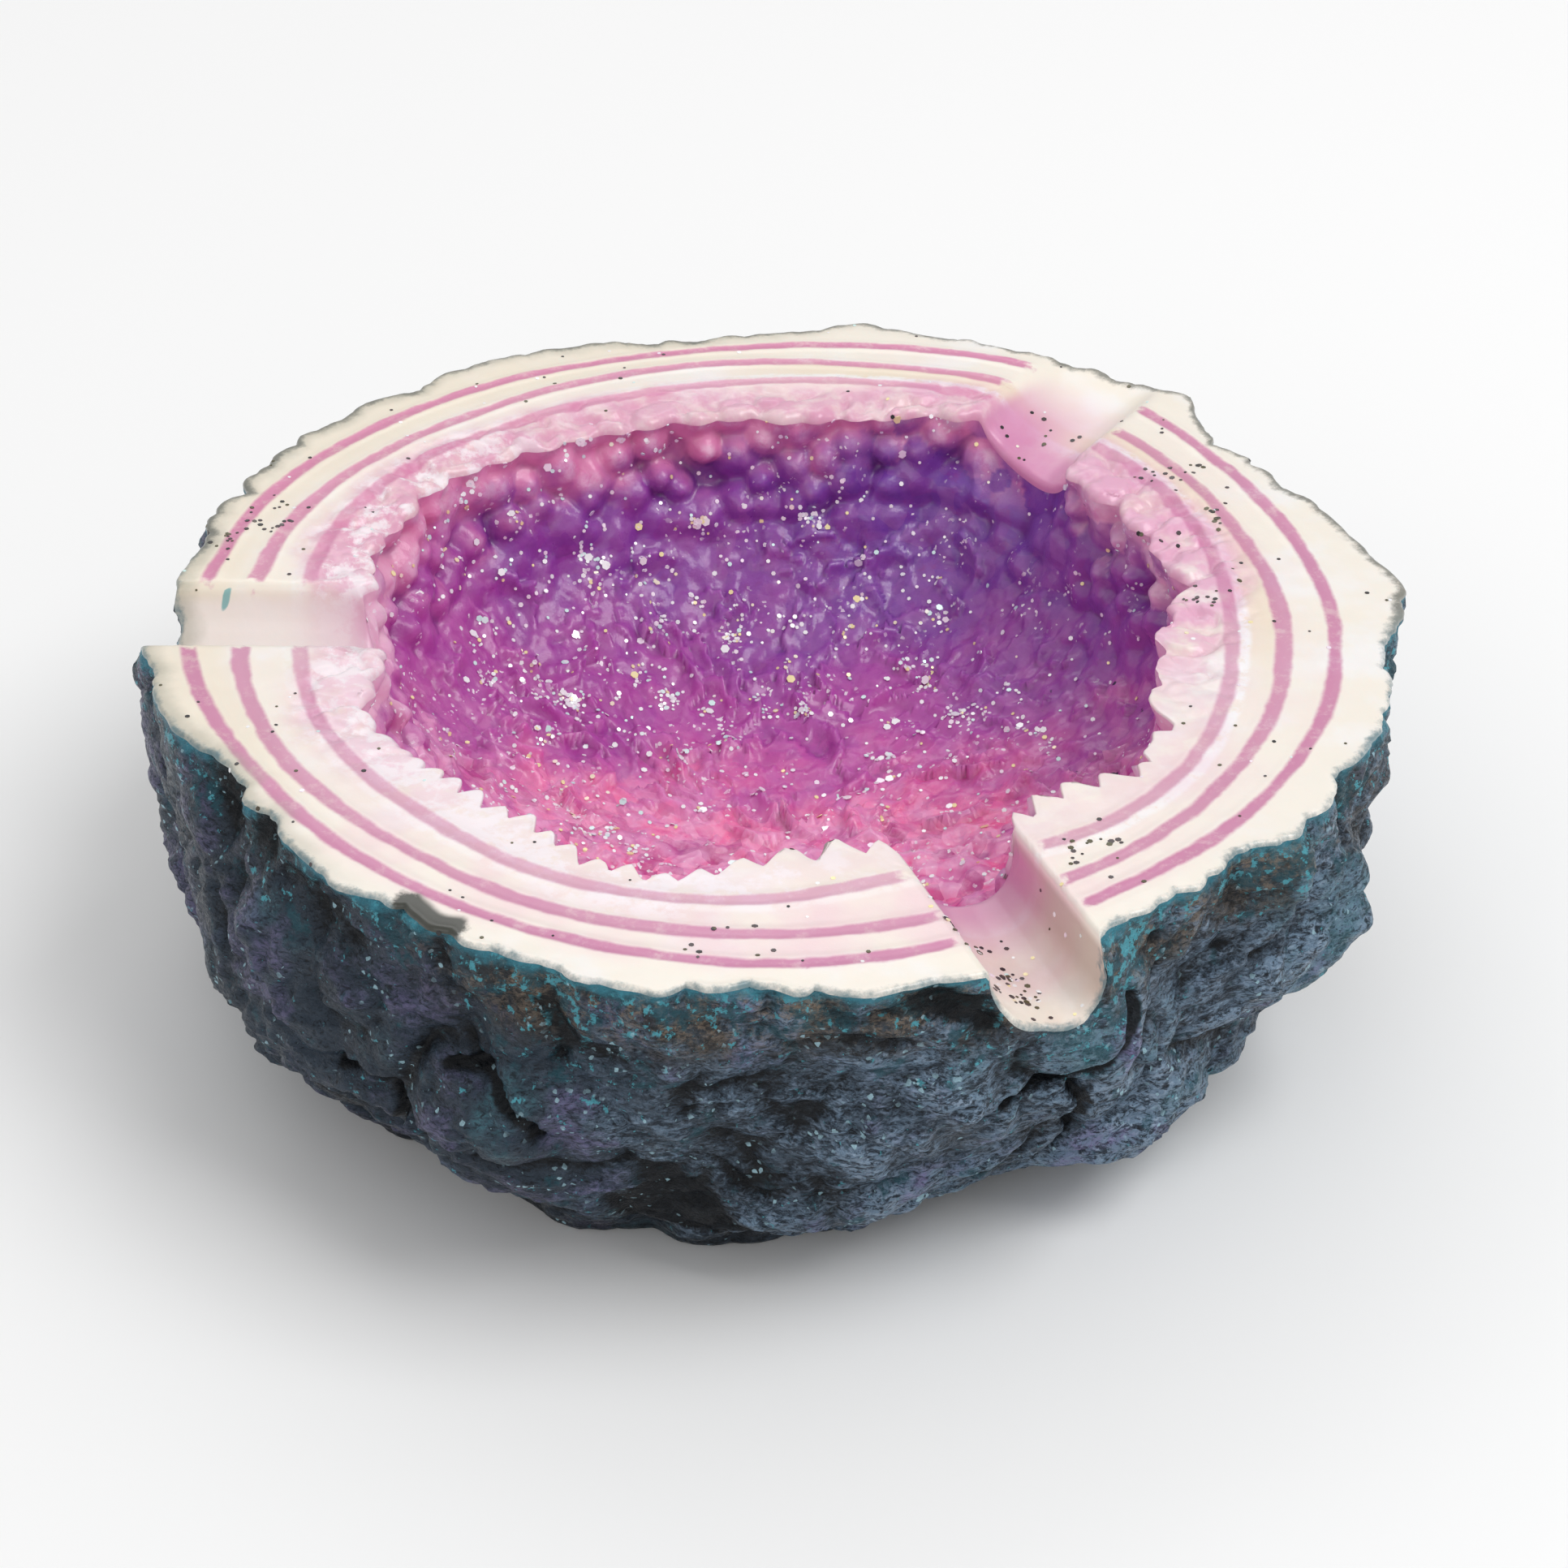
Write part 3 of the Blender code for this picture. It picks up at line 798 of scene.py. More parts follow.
# ---------------------------------------------------------------- materials
class Paint:
    """A Principled material, with short calls for the nodes that feed it."""

    def __init__(self, name):
        self.material = bpy.data.materials.new(name)
        self.material.use_nodes = True
        self.tree = self.material.node_tree
        self.shader = self.tree.nodes["Principled BSDF"]
        self.place = self.node("ShaderNodeTexCoord").outputs["Object"]

    def node(self, kind, inputs=(), **settings):
        """A node with its settings, and values or links for its inputs as (name, value) pairs."""
        made = self.tree.nodes.new(kind)
        for key, value in settings.items():
            setattr(made, key, value)
        for key, value in inputs:
            self.link(value, made.inputs[key])
        return made

    def link(self, value, socket):
        if isinstance(value, bpy.types.NodeSocket):
            self.tree.links.new(value, socket)
        elif isinstance(value, tuple) and socket.type == "RGBA":
            socket.default_value = (*value, 1.0)
        else:
            socket.default_value = value

    def math(self, operation, first, second=0.0):
        return self.node("ShaderNodeMath", ((0, first), (1, second)), operation=operation).outputs[0]

    def chain(self, operation, values):
        result = values[0]
        for value in values[1:]:
            result = self.math(operation, result, value)
        return result

    def add(self, *values):
        return self.chain("ADD", values)

    def times(self, *values):
        return self.chain("MULTIPLY", values)

    def less(self, first, second):
        return self.math("SUBTRACT", first, second)

    def fact(self, name):
        return self.node("ShaderNodeAttribute", attribute_name=name).outputs["Fac"]

    def axes(self, letters):
        """The place's coordinates, one for each letter."""
        return [self.node("ShaderNodeSeparateXYZ", ((0, self.place),)).outputs[letter] for letter in letters]

    def stretched(self, *factors):
        inputs = ((0, self.place), (1, factors))
        return self.node("ShaderNodeVectorMath", inputs, operation="MULTIPLY").outputs[0]

    def distance(self, *point):
        made = self.node("ShaderNodeVectorMath", ((0, self.place), (1, point)), operation="DISTANCE")
        return made.outputs["Value"]

    def noise(self, size, detail=3.0, rough=0.55, place=None, bend=0.0, seed=0.0):
        inputs = (("Vector", place or self.place), ("Scale", 1.0 / size), ("Detail", detail),
                  ("Roughness", rough), ("Distortion", bend), ("W", seed))
        return self.node("ShaderNodeTexNoise", inputs, noise_dimensions="4D").outputs["Fac"]

    def cells(self, size, seed, channel):
        """Cells of about this size, each with its own value."""
        inputs = (("Vector", self.place), ("Scale", 1.0 / size), ("W", seed))
        made = self.node("ShaderNodeTexVoronoi", inputs, voronoi_dimensions="4D", feature="F1")
        return self.node("ShaderNodeSeparateColor", ((0, made.outputs["Color"]),)).outputs[channel]

    def centred(self, value, amount):
        """A value between 0 and 1 moved to lie about 0, and scaled."""
        return self.times(self.less(value, 0.5), amount)

    def jitter(self, amount, *shape, **more):
        return self.centred(self.noise(*shape, **more), amount)

    def step(self, value, low, high, start=0.0, end=1.0):
        """Smoothly from start to end as value goes from low to high."""
        inputs = (("Value", value), ("From Min", low), ("From Max", high), ("To Min", start), ("To Max", end))
        return self.node("ShaderNodeMapRange", inputs, interpolation_type="SMOOTHSTEP").outputs["Result"]

    def patches(self, low, high, *shape, start=0.0, end=1.0, **more):
        """Noise cut into soft patches between two of its levels."""
        return self.step(self.noise(*shape, **more), low, high, start, end)

    def band(self, value, middle, half, soft):
        """1 within half of the middle, falling off over soft."""
        return self.step(self.math("ABSOLUTE", self.less(value, middle)), half, half + soft, 1.0, 0.0)

    def mix(self, share, first, second):
        inputs = (("Factor", share), ("A", first), ("B", second))
        return self.node("ShaderNodeMix", inputs, data_type="RGBA", blend_type="MIX").outputs["Result"]

    def coat(self, under, over, *shares):
        """One colour painted over another, by the product of the shares."""
        return self.mix(self.times(*shares), under, over)

    def bump(self, height, strength, distance, under=None):
        inputs = [("Strength", strength), ("Distance", distance), ("Height", height)]
        if under is not None:
            inputs.append(("Normal", under))
        return self.node("ShaderNodeBump", inputs).outputs["Normal"]

    def finish(self, colour, roughness, normal=None, **fixed):
        fixed.update({"Base Color": colour, "Roughness": roughness})
        if normal is not None:
            fixed["Normal"] = normal
        for key, value in fixed.items():
            self.link(value, self.shader.inputs[key.replace("_", " ")])
        return self.material


def rock_material():
    p = Paint("rock_paint")
    relief, height, crack = (p.fact(name) for name in ("relief", "height", "crack"))
    x, y = p.axes("XY")
    strands = p.stretched(1.0, 1.0, 1.9)
    fibre = p.noise(0.0019, 7.0, 0.74, place=strands, bend=1.5, seed=2.0)
    fine = p.noise(0.0008, 5.0, 0.65, place=strands, bend=1.0, seed=12.0)
    # Near-black slate, dry-brushed with blue-grey along the folds; violet to the left, teal to the right.
    proud = p.step(p.add(relief, p.centred(fibre, 0.004)), -0.0009, 0.0008)
    # Painted light and shade: the dry-brush thins out on the left and thickens towards the front and right,
    # where the light falls.
    dry = p.times(
        p.step(p.add(x, p.times(y, -0.5)), -0.022, 0.008, 0.06, 1.12), p.step(proud, 0.0, 1.0, 0.45, 1.0),
        p.step(y, -0.025, -0.055, 1.0, 1.4),
        p.patches(0.34, 0.62, 0.0075, 3.0, 0.6, seed=17.0, start=0.45, end=1.1)
    )
    slate = p.mix(p.noise(0.01, 4.0, seed=1.0), (0.006, 0.011, 0.019), (0.042, 0.066, 0.1))
    slate = p.coat(slate, (0.18, 0.27, 0.38), p.step(fibre, 0.43, 0.58), dry, 0.95)
    slate = p.coat(slate, (0.31, 0.41, 0.54), p.step(fine, 0.51, 0.62), dry, 0.66)
    slate = p.coat(slate, (0.003, 0.005, 0.009), p.step(fine, 0.46, 0.36), 0.85)
    brushed = p.add(0.2, p.times(p.step(fine, 0.42, 0.58), 0.8))
    violet = p.step(p.add(p.noise(0.0085, 4.0, 0.6, seed=4.0), p.times(x, -1.2)), 0.53, 0.64)
    colour = p.mix(
        p.times(violet, proud, brushed, p.step(x, -0.05, -0.02, 0.4, 0.75)), slate, (0.24, 0.195, 0.42)
    )
    teal = p.step(p.add(p.noise(0.0095, 4.0, 0.6, seed=5.0), p.times(x, 0.8)), 0.5, 0.66)
    colour = p.coat(colour, (0.065, 0.215, 0.265), teal, proud, brushed, 0.6)
    # Near-black under the rim at the front, with brown-beige bare patches.
    front = p.step(y, -0.034, -0.05)
    under = p.times(p.patches(0.43, 0.53, 0.008, 4.0, 0.65, seed=27.0), p.step(height, 0.029, 0.035), front)
    colour = p.coat(colour, (0.018, 0.017, 0.016), under, 0.82)
    bare = p.times(
        p.patches(0.46, 0.56, 0.0045, 6.0, 0.78, seed=7.0), p.step(height, 0.0305, 0.0385), front
    )
    colour = p.coat(colour, (0.26, 0.195, 0.14), bare, brushed, 0.8)
    # Turquoise metallic flecks, strongest just below the rim and beside the front rest.
    edge = p.step(height, 0.03, 0.0402)
    beside = p.step(p.math("ABSOLUTE", p.less(x, 0.003)), 0.016, 0.004)
    beside = p.times(beside, front, p.step(height, 0.022, 0.031))
    patch = p.step(p.distance(-0.037, -0.05, 0.0335), 0.016, 0.003)
    load = p.add(p.times(edge, 0.072), p.times(beside, 0.045), p.times(teal, 0.022), p.times(patch, 0.045))
    ground = p.step(p.add(p.noise(0.004, 5.0, 0.7, seed=6.0), load), 0.56, 0.66)
    colour = p.coat(colour, (0.014, 0.085, 0.115), ground, 0.75)
    flecks = p.step(p.add(p.noise(0.0012, 5.0, 0.7, seed=15.0), load), 0.625, 0.67)
    colour = p.coat(colour, (0.09, 0.4, 0.49), flecks, 0.9)
    # A thin turquoise line of paint where the rock meets the rim.
    trim = p.add(height, p.jitter(0.0032, 0.0028, 4.0, 0.7, seed=16.0))
    colour = p.coat(colour, (0.045, 0.255, 0.34), p.step(trim, 0.0388, 0.0402), 0.85)
    # Painted shade: near-black in the hollows and cracks, and flat dark towards the foot.
    crease_shade = p.step(p.add(relief, p.centred(fine, 0.0016)), -0.0006, -0.0016)
    colour = p.coat(colour, (0.002, 0.003, 0.005), p.math("MAXIMUM", crease_shade, p.step(crack, 0.12, 0.55)), 0.95)
    foot_shade = p.step(p.add(height, p.jitter(0.01, 0.009, 3.0, seed=13.0)), 0.0065, 0.001)
    colour = p.coat(colour, (0.006, 0.008, 0.011), foot_shade, 0.75)
    # Painted glints: a few pale pearl-blue dots standing in for sparkle highlights.
    painted_glint = p.step(p.cells(0.0004, 3.0, 0), 0.955, 0.975)
    colour = p.coat(colour, (0.42, 0.66, 0.76), painted_glint, p.patches(0.5, 0.62, 0.005, 3.0, seed=14.0), 0.85)
    rough = p.add(0.24, p.times(p.step(fine, 0.62, 0.4), 0.4))
    normal = p.bump(p.noise(0.0026, 6.0, 0.66, place=strands, bend=1.0, seed=11.0), 0.85, 0.0011)
    normal = p.bump(fine, 0.75, 0.00042, under=normal)
    return p.finish(
        colour, rough, normal, Coat_Weight=0.11, Coat_Roughness=0.16, Metallic=0.1, Specular_IOR_Level=0.28
    )


def rim_material():
    p = Paint("rim_paint")
    inset, lip, gap, down, mouth = (p.fact(name) for name in ("inset", "lip", "gap", "down", "mouth"))
    x, y = p.axes("XY")
    wander = p.jitter(0.0018, 0.02, 2.0, seed=1.0)
    brush = p.jitter(0.0007, 0.0026, 3.0, seed=2.0)
    cream = p.mix(p.noise(0.022, 3.0, seed=3.0), (0.92, 0.83, 0.7), (0.93, 0.88, 0.82))
    white = p.mix(p.patches(0.48, 0.72, 0.009, 3.0, seed=4.0), cream, (0.93, 0.9, 0.88))
    # A pale pink wash between the inner lines, and painted highlights: white streaks beside the inner line,
    # strongest on the right.
    streak = p.noise(0.0013, 4.0, 0.6, seed=15.0)
    offs = [
        p.add(p.fact(name), p.add(p.times(wander, 0.4), brush)) for name in ("outer", "middle", "inner")
    ]
    between = p.add(offs[1], -0.0006)
    nearby = p.times(p.step(y, -0.005, -0.035), p.step(x, 0.022, -0.004, 0.25, 1.0))
    wash = p.times(
        p.band(between, 0.0, 0.004, 0.0036), p.patches(0.3, 0.68, 0.01, 3.0, seed=5.0),
        p.step(nearby, 0.0, 1.0, 0.15, 0.75)
    )
    colour = p.mix(wash, white, (0.88, 0.62, 0.68))
    sunny = p.times(
        p.band(p.add(offs[2], 0.0026), 0.0, 0.0012, 0.0012),
        p.step(p.add(x, p.times(y, 0.3)), 0.026, 0.042), 0.8
    )
    colour = p.coat(colour, (0.86, 0.73, 0.56), sunny)
    sunny = p.times(
        p.band(p.add(offs[0], 0.003), 0.0, 0.005, 0.003), p.step(p.less(y, x), 0.02, 0.055), 0.6
    )
    colour = p.coat(colour, (0.86, 0.76, 0.6), sunny)
    # Painted highlight: a white streak along the inner line, brightest on the right.
    light = p.times(
        p.band(offs[2], -0.0012, 0.0003, 0.0007), p.step(streak, 0.34, 0.54),
        p.step(x, -0.01, 0.04, 0.35, 0.95)
    )
    colour = p.coat(colour, (0.97, 0.96, 0.97), light)
    # Airbrushed pink where the rim turns down to the crystals, strongest at the far side.
    reach = p.add(lip, p.jitter(0.004, 0.005, 3.0, seed=16.0))
    far = p.step(y, -0.034, 0.03, 0.12, 0.8)
    blotch = p.patches(0.36, 0.58, 0.0035, 4.0, 0.6, seed=24.0, start=0.55, end=1.0)
    colour = p.coat(colour, (0.72, 0.25, 0.46), p.step(reach, 0.0078, 0.0024), far, blotch)
    side = p.times(
        p.step(reach, 0.0054, 0.0008), p.patches(0.34, 0.54, 0.004, 3.0, seed=17.0),
        p.step(y, 0.034, 0.016), 0.85
    )
    side = p.times(side, p.step(y, -0.034, -0.012, 0.25, 1.0))
    colour = p.coat(colour, p.mix(p.step(x, -0.02, 0.01), (0.9, 0.66, 0.76), (0.79, 0.38, 0.57)), side)
    pale = p.times(
        p.step(reach, 0.008, 0.003), p.patches(0.46, 0.58, 0.0032, 5.0, 0.65, seed=26.0),
        p.step(x, 0.0, -0.024, 0.12, 0.85)
    )
    colour = p.coat(colour, (0.95, 0.86, 0.9), pale)
    # The three painted lines, uneven in load and stopping short of the rests.
    ends = p.step(p.add(gap, p.jitter(0.0044, 0.0016, 4.0, seed=6.0)), 0.0004, 0.0016)
    dry = p.patches(0.3, 0.52, 0.0022, 5.0, 0.75, seed=7.0)
    loads = p.add(p.times(dry, 0.3), 0.6)
    deep = p.mix(p.noise(0.016, 2.0, seed=18.0), (0.66, 0.21, 0.41), (0.5, 0.085, 0.28))
    deep = p.coat(deep, (0.68, 0.125, 0.34), p.step(y, 0.01, 0.045, 0.0, 0.65))
    for number, (half, load) in enumerate(((0.0005, 0.98), (0.00056, 0.9), (0.00054, 0.72))):
        thick = p.jitter(0.0008, 0.013, 2.0, seed=30.0 + number)
        off = p.less(p.math("ABSOLUTE", offs[number]), thick)
        line = p.times(p.step(off, half, half + 0.00055, 1.0, 0.0), ends, loads, load)
        colour = p.coat(colour, deep, line)
    # Rests: pink towards the bowl, and painted shade low on the walls: tan, a greyer pink in the left rest,
    # and darker tan on the front rest's right wall.
    shade = p.times(p.step(down, 0.0016, 0.006), p.patches(0.3, 0.66, 0.008, 3.0, seed=8.0), 0.36)
    left = p.step(x, -0.036, -0.042)
    shade = p.times(shade, p.step(left, 0.0, 1.0, 1.0, 0.35))
    colour = p.coat(colour, (0.62, 0.43, 0.36), shade)
    colour = p.coat(colour, (0.9, 0.82, 0.8), left, p.step(down, 0.0006, 0.0026), 0.75)
    # Painted shade: a darker tan on the front rest's right wall.
    right_wall_shade = p.times(
        p.step(x, 0.0024, 0.0056), p.step(y, -0.042, -0.046), p.step(down, 0.0005, 0.002),
        p.step(down, 0.0075, 0.0045), 0.62
    )
    colour = p.coat(colour, (0.42, 0.29, 0.23), right_wall_shade)
    blush = p.times(p.step(mouth, 0.01, 0.0005), p.step(down, 0.0006, 0.003))
    colour = p.coat(colour, (0.66, 0.22, 0.45), blush, p.step(left, 0.0, 1.0, 0.8, 0.25))
    # The back rest's apron is airbrushed all over.
    apron_y = p.add(p.times(x, 0.42), p.times(y, 0.9))
    apron = p.times(
        p.step(mouth, 0.016, 0.004), p.step(apron_y, 0.045, 0.052), p.step(down, 0.0002, 0.0016), 0.8
    )
    colour = p.coat(colour, (0.7, 0.28, 0.49), apron)
    # The outer edge greys towards the back left, and rock paint strays over it; one olive patch.
    dull = p.step(p.add(inset, p.jitter(0.003, 0.004, 4.0, 0.6, seed=25.0)), 0.003, 0.0002)
    dull = p.times(dull, p.step(p.less(y, x), 0.01, 0.05), 0.6)
    colour = p.coat(colour, (0.36, 0.35, 0.27), dull)
    stray = p.add(inset, p.jitter(0.0034, 0.003, 5.0, 0.75, seed=9.0))
    behind = p.step(p.add(y, p.times(x, 0.5)), -0.004, 0.012)
    stray = p.less(stray, p.times(behind, 0.0007))
    stray = p.times(p.step(stray, 0.0008, -0.0004), 0.88)
    strayed = p.mix(p.noise(0.005, 3.0, seed=19.0), (0.05, 0.22, 0.28), (0.1, 0.13, 0.14))
    strayed = p.coat(
        strayed, p.mix(p.noise(0.004, 3.0, seed=21.0), (0.045, 0.055, 0.05), (0.2, 0.2, 0.16)), behind
    )
    colour = p.coat(colour, strayed, stray)
    patch_x, patch_y = p.add(x, 0.0496), p.add(y, 0.0402)
    patch = p.math("SQRT", p.add(p.times(patch_x, patch_x), p.times(patch_y, patch_y)))
    patch = p.add(patch, p.jitter(0.0046, 0.0028, 5.0, 0.7, seed=20.0))
    olive = p.times(p.step(patch, 0.0046, 0.0034), p.step(inset, 0.0028, 0.0018))
    colour = p.coat(colour, (0.036, 0.038, 0.028), olive, 0.99)
    # A turquoise dot in the left rest.
    dot_x, dot_y = p.add(x, 0.052), p.less(y, 0.0262)
    dot = p.step(p.add(p.times(dot_x, dot_x), p.times(dot_y, dot_y, 12.0)), 5e-07, 2e-07)
    colour = p.coat(colour, (0.1, 0.4, 0.42), dot, 0.8)
    rough = p.add(0.22, p.times(p.noise(0.004, 3.0, seed=10.0), 0.22))
    normal = p.bump(p.noise(0.0014, 4.0, 0.6, seed=11.0), 0.2, 0.0002)
    normal = p.bump(p.noise(0.006, 2.0, seed=12.0), 0.2, 0.0008, under=normal)
    return p.finish(
        colour, rough, normal, Coat_Weight=0.4, Coat_Roughness=0.14, Subsurface_Weight=0.15,
        Subsurface_Scale=0.002, Subsurface_Radius=(1.0, 0.6, 0.5)
    )


def crystal_material():
    p = Paint("crystal_paint")
    crest, hue = p.fact("crest"), p.fact("hue")
    x, y, z = p.axes("XYZ")
    patch = p.jitter(0.026, 0.012, 3.0, seed=1.0)
    # Hot pink on the floor, purple up the wall, and violet at the back.
    far = p.add(p.times(y, 0.935), p.times(x, 0.355), patch)
    out = p.math("SQRT", p.add(p.times(x, x), p.times(y, y)))
    wall = p.step(p.add(out, patch), 0.025, 0.039)
    colour = p.mix(p.patches(0.4, 0.62, 0.005, 4.0, 0.65, seed=5.0), (0.9, 0.125, 0.36), (0.74, 0.18, 0.46))
    colour = p.coat(colour, (0.46, 0.07, 0.37), wall, 0.85)
    colour = p.coat(colour, (0.44, 0.055, 0.37), p.step(far, 0.006, 0.022))
    colour = p.coat(colour, (0.25, 0.045, 0.36), p.step(far, 0.024, 0.04))
    # Painted shade: the bowl's far right corner is deepened to a dark navy violet.
    corner = p.add(p.times(x, 1.0), p.times(y, 0.55), patch)
    colour = p.coat(colour, (0.135, 0.05, 0.36), p.step(corner, 0.03, 0.05), 0.66)
    # Cloudy mottling, as of paint under gloss, and some variety from crystal to crystal.
    cloud = p.noise(0.0022, 6.0, 0.7, bend=0.25, seed=8.0)
    near = p.step(far, 0.018, -0.004, 0.14, 1.0)
    colour = p.coat(colour, (0.86, 0.38, 0.63), p.step(cloud, 0.52, 0.68), near, 0.28)
    colour = p.coat(colour, (0.24, 0.022, 0.22), p.step(cloud, 0.46, 0.3), 0.45)
    colour = p.coat(colour, (0.86, 0.36, 0.62), p.step(hue, 0.6, 0.9), near, 0.36)
    faces = p.cells(0.0025, 11.0, 0)
    colour = p.coat(colour, (0.9, 0.4, 0.62), p.step(faces, 0.62, 0.9), near, 0.52)
    colour = p.coat(colour, (0.44, 0.026, 0.22), p.step(faces, 0.4, 0.1), near, 0.66)
    colour = p.coat(colour, (0.24, 0.035, 0.3), p.step(hue, 0.35, 0.0), 0.22)
    # Pink, almost white points along the top of the wall: whitest at the sides, pink at the back.
    ragged = p.jitter(0.018, 0.0065, 3.0, seed=2.0)
    start = p.step(x, -0.012, 0.016, -0.0285, -0.0318)
    start = p.less(start, p.step(x, 0.026, 0.038, 0.0, 0.0012))
    top = p.step(p.add(z, start, p.add(ragged, p.centred(hue, 0.004))), 0.0, 0.008)
    pale = p.mix(p.step(p.add(y, p.times(x, 0.2)), 0.012, 0.036), (0.9, 0.57, 0.71), (0.8, 0.27, 0.48))
    # Painted highlight: the points are paler on their crests.
    pale = p.coat(pale, (0.93, 0.72, 0.82), p.step(crest, 0.7, 1.0), p.step(cloud, 0.4, 0.58), 0.55)
    colour = p.coat(colour, pale, top, 0.9)
    # Painted shade between the crystals, and painted highlights on their crests.
    deep = p.times(p.step(crest, 0.42, 0.08), p.step(top, 1.0, 0.0, 0.3, 0.6))
    colour = p.coat(colour, p.mix(p.step(far, 0.01, 0.03), (0.34, 0.03, 0.23), (0.13, 0.016, 0.2)), deep)
    proud = p.times(p.step(crest, 0.72, 1.0), near, p.step(cloud, 0.4, 0.56, 0.35, 1.0), 0.4)
    colour = p.coat(colour, (0.92, 0.52, 0.74), proud)
    # Small dark cracks in the wall at the right.
    dark = p.times(
        p.patches(0.66, 0.7, 0.003, 3.0, 0.6, seed=9.0), p.step(x, 0.022, 0.032), p.step(z, 0.034, 0.026)
    )
    colour = p.coat(colour, (0.03, 0.008, 0.06), dark)
    # Frosting of fine glitter dust.
    dust = p.step(p.cells(0.00036, 6.0, 1), 0.94, 0.965)
    colour = p.coat(colour, (0.93, 0.86, 0.92), dust, p.patches(0.5, 0.62, 0.0055, 4.0, seed=7.0), 0.9)
    rough = p.add(0.2, p.times(p.noise(0.003, 3.0, seed=3.0), 0.22))
    normal = p.bump(p.noise(0.0011, 4.0, 0.65, seed=4.0), 0.45, 0.0003)
    return p.finish(
        colour, rough, normal, Coat_Weight=0.3, Coat_Roughness=0.1, Subsurface_Weight=0.3,
        Subsurface_Scale=0.003, Subsurface_Radius=(1.0, 0.5, 0.9)
    )


def flake_material(name, shades, roughness, metallic):
    p = Paint(name)
    tint = p.fact("tint")
    colour = shades[0]
    for number, shade in enumerate(shades[1:]):
        edge = (number + 1) / len(shades)
        colour = p.coat(colour, shade, p.step(tint, edge - 0.02, edge + 0.02))
    rough = p.add(roughness, p.times(p.noise(0.0008, 2.0), 0.1))
    return p.finish(colour, rough, Metallic=metallic, Coat_Weight=0.5, Coat_Roughness=0.05)


# ---------------------------------------------------------------- flakes
FLAKE_THICKNESS = 0.00009
FLAKE_SIDES = 6


def scatter(name, spots, dice):
    """Thin hexagonal flakes, one for each (point, normal, size, lift, lean)."""
    vertices, faces, tints = [], [], []
    sides = range(FLAKE_SIDES)
    for point, normal, size, lift, lean in spots:
        up = Vector(normal) + Vector([dice.uniform(-lean, lean) for _ in range(3)])
        turn = up.to_track_quat("Z", "Y").to_matrix() @ Matrix.Rotation(dice.uniform(0, TURN), 3, "Z")
        middle = Vector(point) + Vector(normal) * lift
        first = len(vertices)
        tints += [dice.random()] * (2 * FLAKE_SIDES)
        for level in (-0.5, 0.5):
            for side in sides:
                angle = side * TURN / FLAKE_SIDES
                corner = (math.cos(angle) * size / 2, math.sin(angle) * size / 2, level * FLAKE_THICKNESS)
                vertices.append(middle + turn @ Vector(corner))
        faces.append([first + side for side in reversed(sides)])
        faces.append([first + FLAKE_SIDES + side for side in sides])
        for side in sides:
            low, after = first + side, first + (side + 1) % FLAKE_SIDES
            faces.append([low, after, after + FLAKE_SIDES, low + FLAKE_SIDES])
    mesh = bpy.data.meshes.new(name)
    mesh.from_pydata(vertices, [], faces)
    mesh.attributes.new("tint", "FLOAT", "POINT").data.foreach_set("value", tints)
    return shown(name, mesh)


def surface_spots(piece, count, weight, sizes, dice, lift=0.00005, lean=0.3):
    """Random places on a piece, by a weight for each vertex."""
    mesh = piece.data
    points, normals = np.zeros((2, len(mesh.vertices) * 3))
    mesh.vertices.foreach_get("co", points)
    mesh.vertex_normals.foreach_get("vector", normals)
    points, normals = points.reshape(-1, 3), normals.reshape(-1, 3)
    weights = weight(points)
    chances = np.cumsum(weights / weights.sum())
    spots = []
    for _ in range(count):
        pick = min(int(np.searchsorted(chances, dice.random())), len(points) - 1)
        spots.append((points[pick], normals[pick], dice.uniform(*sizes), lift, lean))
    return spots


def evenly_spread(points):
    """The rings crowd towards the middle, so a vertex there stands for less surface."""
    return np.hypot(points[:, 0], points[:, 1]) + 0.004


def cluster(*blobs):
    """Weights for Gaussian clusters, each (x, y, spread, share)."""
    def weight(points):
        total = np.zeros(len(points))
        for x, y, spread, share in blobs:
            total += share * np.exp(-0.5 * ((points[:, 0] - x) ** 2 + (points[:, 1] - y) ** 2) / spread**2)
        uneven = np.exp(5.0 * sampled(noise.noise, points, 0.0030, (4.0, 2.0, 9.0)))
        return total * evenly_spread(points) * uneven
    return weight


# ---------------------------------------------------------------- build
rock, rim, bowl = make_rock(), make_rim(), make_bowl()
dice = random.Random(8)
SPARKLING = cluster(
    (-0.012, 0.036, 0.009, 1.0), (0.004, 0.033, 0.008, 0.8), (0.010, 0.020, 0.009, 0.9),
    (-0.010, 0.014, 0.010, 0.8), (-0.020, 0.004, 0.009, 0.5), (0.025, 0.031, 0.007, 0.4),
    (0.020, 0.007, 0.009, 0.5), (-0.004, -0.008, 0.012, 0.5),
)
FRONT_REST = cluster((-0.0010, -0.0585, 0.0032, 1.0))
ON_RIM = {"lift": 0.0, "lean": 0.06}
# Clusters of dark flakes on the rim, as x, y, spread and count.
SPECKLED = (
    (0.0525, 0.0130, 0.0022, 18), (0.0500, 0.0060, 0.0025, 14), (0.0465, -0.0120, 0.0035, 16),
    (-0.0462, 0.0368, 0.0034, 34), (0.0105, -0.0500, 0.0022, 18), (-0.0020, -0.0535, 0.0016, 20),
    (-0.0016, -0.0580, 0.0018, 26), (-0.0010, -0.0615, 0.0016, 24), (-0.0240, -0.0550, 0.0020, 9),
    (0.0440, 0.0320, 0.0030, 12), (-0.0430, 0.0130, 0.0020, 7),
)
bright = surface_spots(bowl, 1250, SPARKLING, (0.00030, 0.00064), dice)
bright += surface_spots(bowl, 110, SPARKLING, (0.00070, 0.00110), dice, lean=0.2)
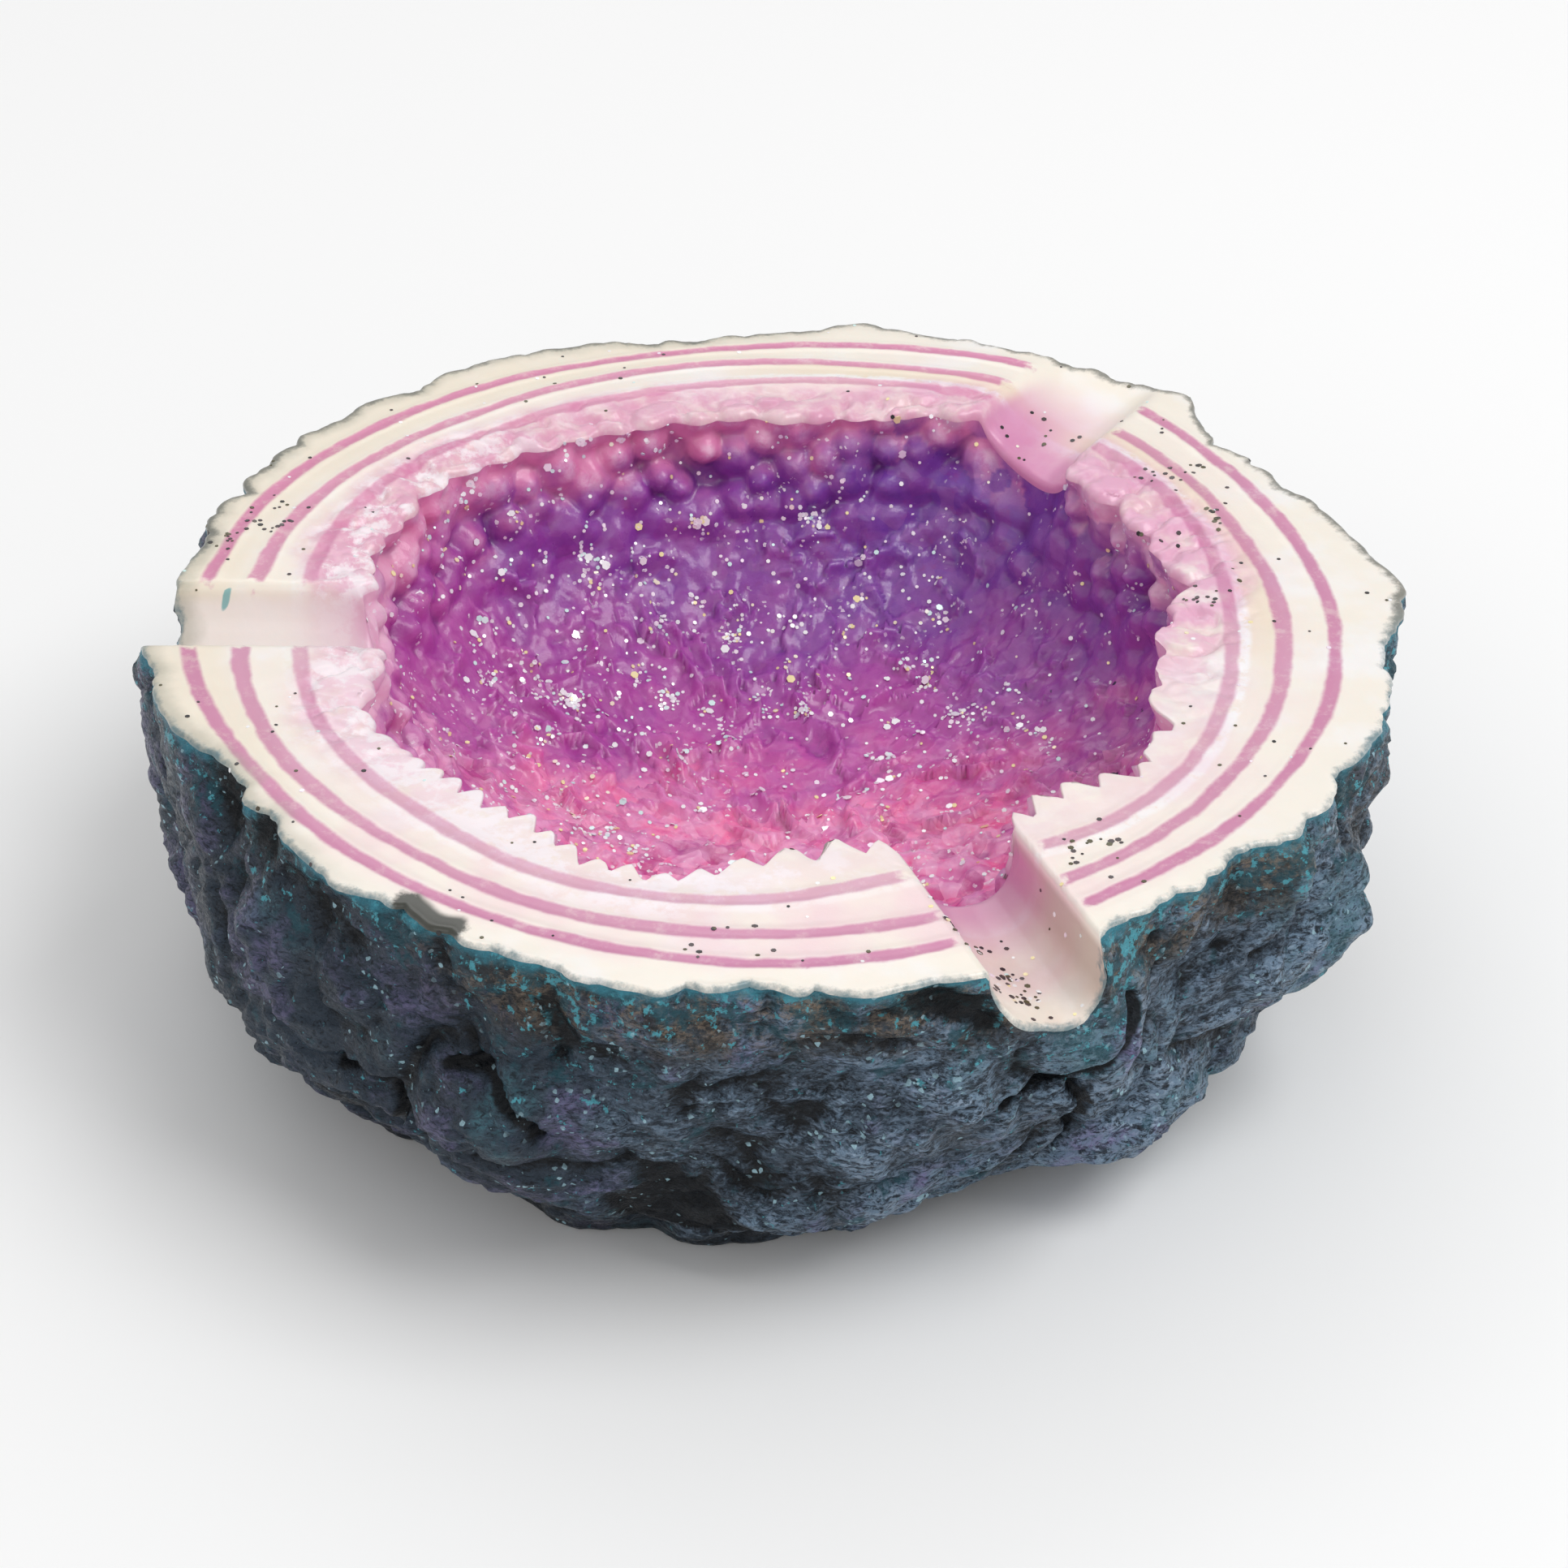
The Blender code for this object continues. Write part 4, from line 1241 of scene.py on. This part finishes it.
bright += surface_spots(bowl, 420, evenly_spread, (0.00028, 0.00056), dice)
bright += surface_spots(rim, 60, evenly_spread, (0.00030, 0.00055), dice, **ON_RIM)
bright += surface_spots(rim, 34, FRONT_REST, (0.00030, 0.00060), dice, **ON_RIM)
dark = surface_spots(rim, 90, evenly_spread, (0.00026, 0.00055), dice, **ON_RIM)
for x, y, spread, count in SPECKLED:
    dark += surface_spots(rim, count, cluster((x, y, spread, 1.0)), (0.00030, 0.00068), dice, **ON_RIM)
glitter = scatter("glitter_flakes", bright, dice)
specks = scatter("dark_flakes", dark, dice)

SILVER, GOLD, AQUA, ROSE = (0.98, 0.98, 1.0), (0.98, 0.86, 0.45), (0.72, 0.96, 0.93), (0.98, 0.85, 0.97)
BRIGHT_SHADES = (SILVER, SILVER, ROSE, GOLD, SILVER, SILVER, AQUA, SILVER)
DARK_SHADES = ((0.012, 0.010, 0.012), (0.060, 0.040, 0.045), (0.09, 0.08, 0.03))
for piece, slot, material in (
    (rock, "rock_paint", rock_material()),
    (rim, "rim_paint", rim_material()),
    (bowl, "crystal_paint", crystal_material()),
    (glitter, "glitter", flake_material("glitter", BRIGHT_SHADES, 0.18, 0.15)),
    (specks, "glitter", flake_material("dark_glitter", DARK_SHADES, 0.30, 0.3)),
):
    piece.data.materials.append(material)
    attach(piece, "root")
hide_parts("geode_body")

# ---------------------------------------------------------------- floor, light and camera
FLOOR_REACH = 3.0
floor_mesh = bpy.data.meshes.new("studio_floor")
floor_corners = [(x * FLOOR_REACH, y * FLOOR_REACH, 0) for x, y in ((-1, -1), (1, -1), (1, 1), (-1, 1))]
floor_mesh.from_pydata(floor_corners, [], [(0, 1, 2, 3)])
floor = shown("studio_floor", floor_mesh)
floor.data.materials.append(Paint("studio_white").finish((0.97, 0.97, 0.97), 0.9))
floor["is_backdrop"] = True

world = bpy.data.worlds.new("studio")
world.use_nodes = True
background = world.node_tree.nodes["Background"].inputs
background["Color"].default_value = (1.0, 1.0, 1.0, 1.0)
background["Strength"].default_value = 0.60
bpy.context.scene.world = world

LIT_POINT = (0.0, 0.0, 0.02)
for name, place, size, watts in (
    ("key", (0.50, -0.44, 1.05), (0.70, 0.70), 6.4),
    ("fill", (-0.80, -0.70, 0.60), (0.80, 0.60), 1.2),
    ("back", (0.10, 0.90, 0.95), (0.90, 0.50), 1.6),
):
    light = bpy.data.lights.new(name, "AREA")
    light.shape = "RECTANGLE"
    light.size, light.size_y = size
    light.energy = watts
    lamp = shown(name, light)
    lamp.location = place
    lamp.rotation_euler = (Vector(LIT_POINT) - Vector(place)).to_track_quat("-Z", "Y").to_euler()

TARGET = Vector((0.0013, 0.0031, 0.018))
DISTANCE = 0.40
AZIMUTH = math.radians(-20.79)
ELEVATION = math.radians(32.0)
SENSOR_WIDTH = 36.0
IMAGE_WIDTH, FOCAL_LENGTH = 1932.0, 4630.0  # in the image's pixels
level = math.cos(ELEVATION)
away = Vector((math.sin(AZIMUTH) * level, -math.cos(AZIMUTH) * level, math.sin(ELEVATION)))
camera_data = bpy.data.cameras.new("camera")
camera_data.sensor_width = SENSOR_WIDTH
camera_data.lens = FOCAL_LENGTH / IMAGE_WIDTH * SENSOR_WIDTH
camera_data.clip_start = 0.01
camera = shown("camera", camera_data)
camera.location = TARGET + away * DISTANCE
camera.rotation_euler = (-away).to_track_quat("-Z", "Y").to_euler()
bpy.context.scene.camera = camera
bpy.context.scene.view_settings.view_transform = "Standard"
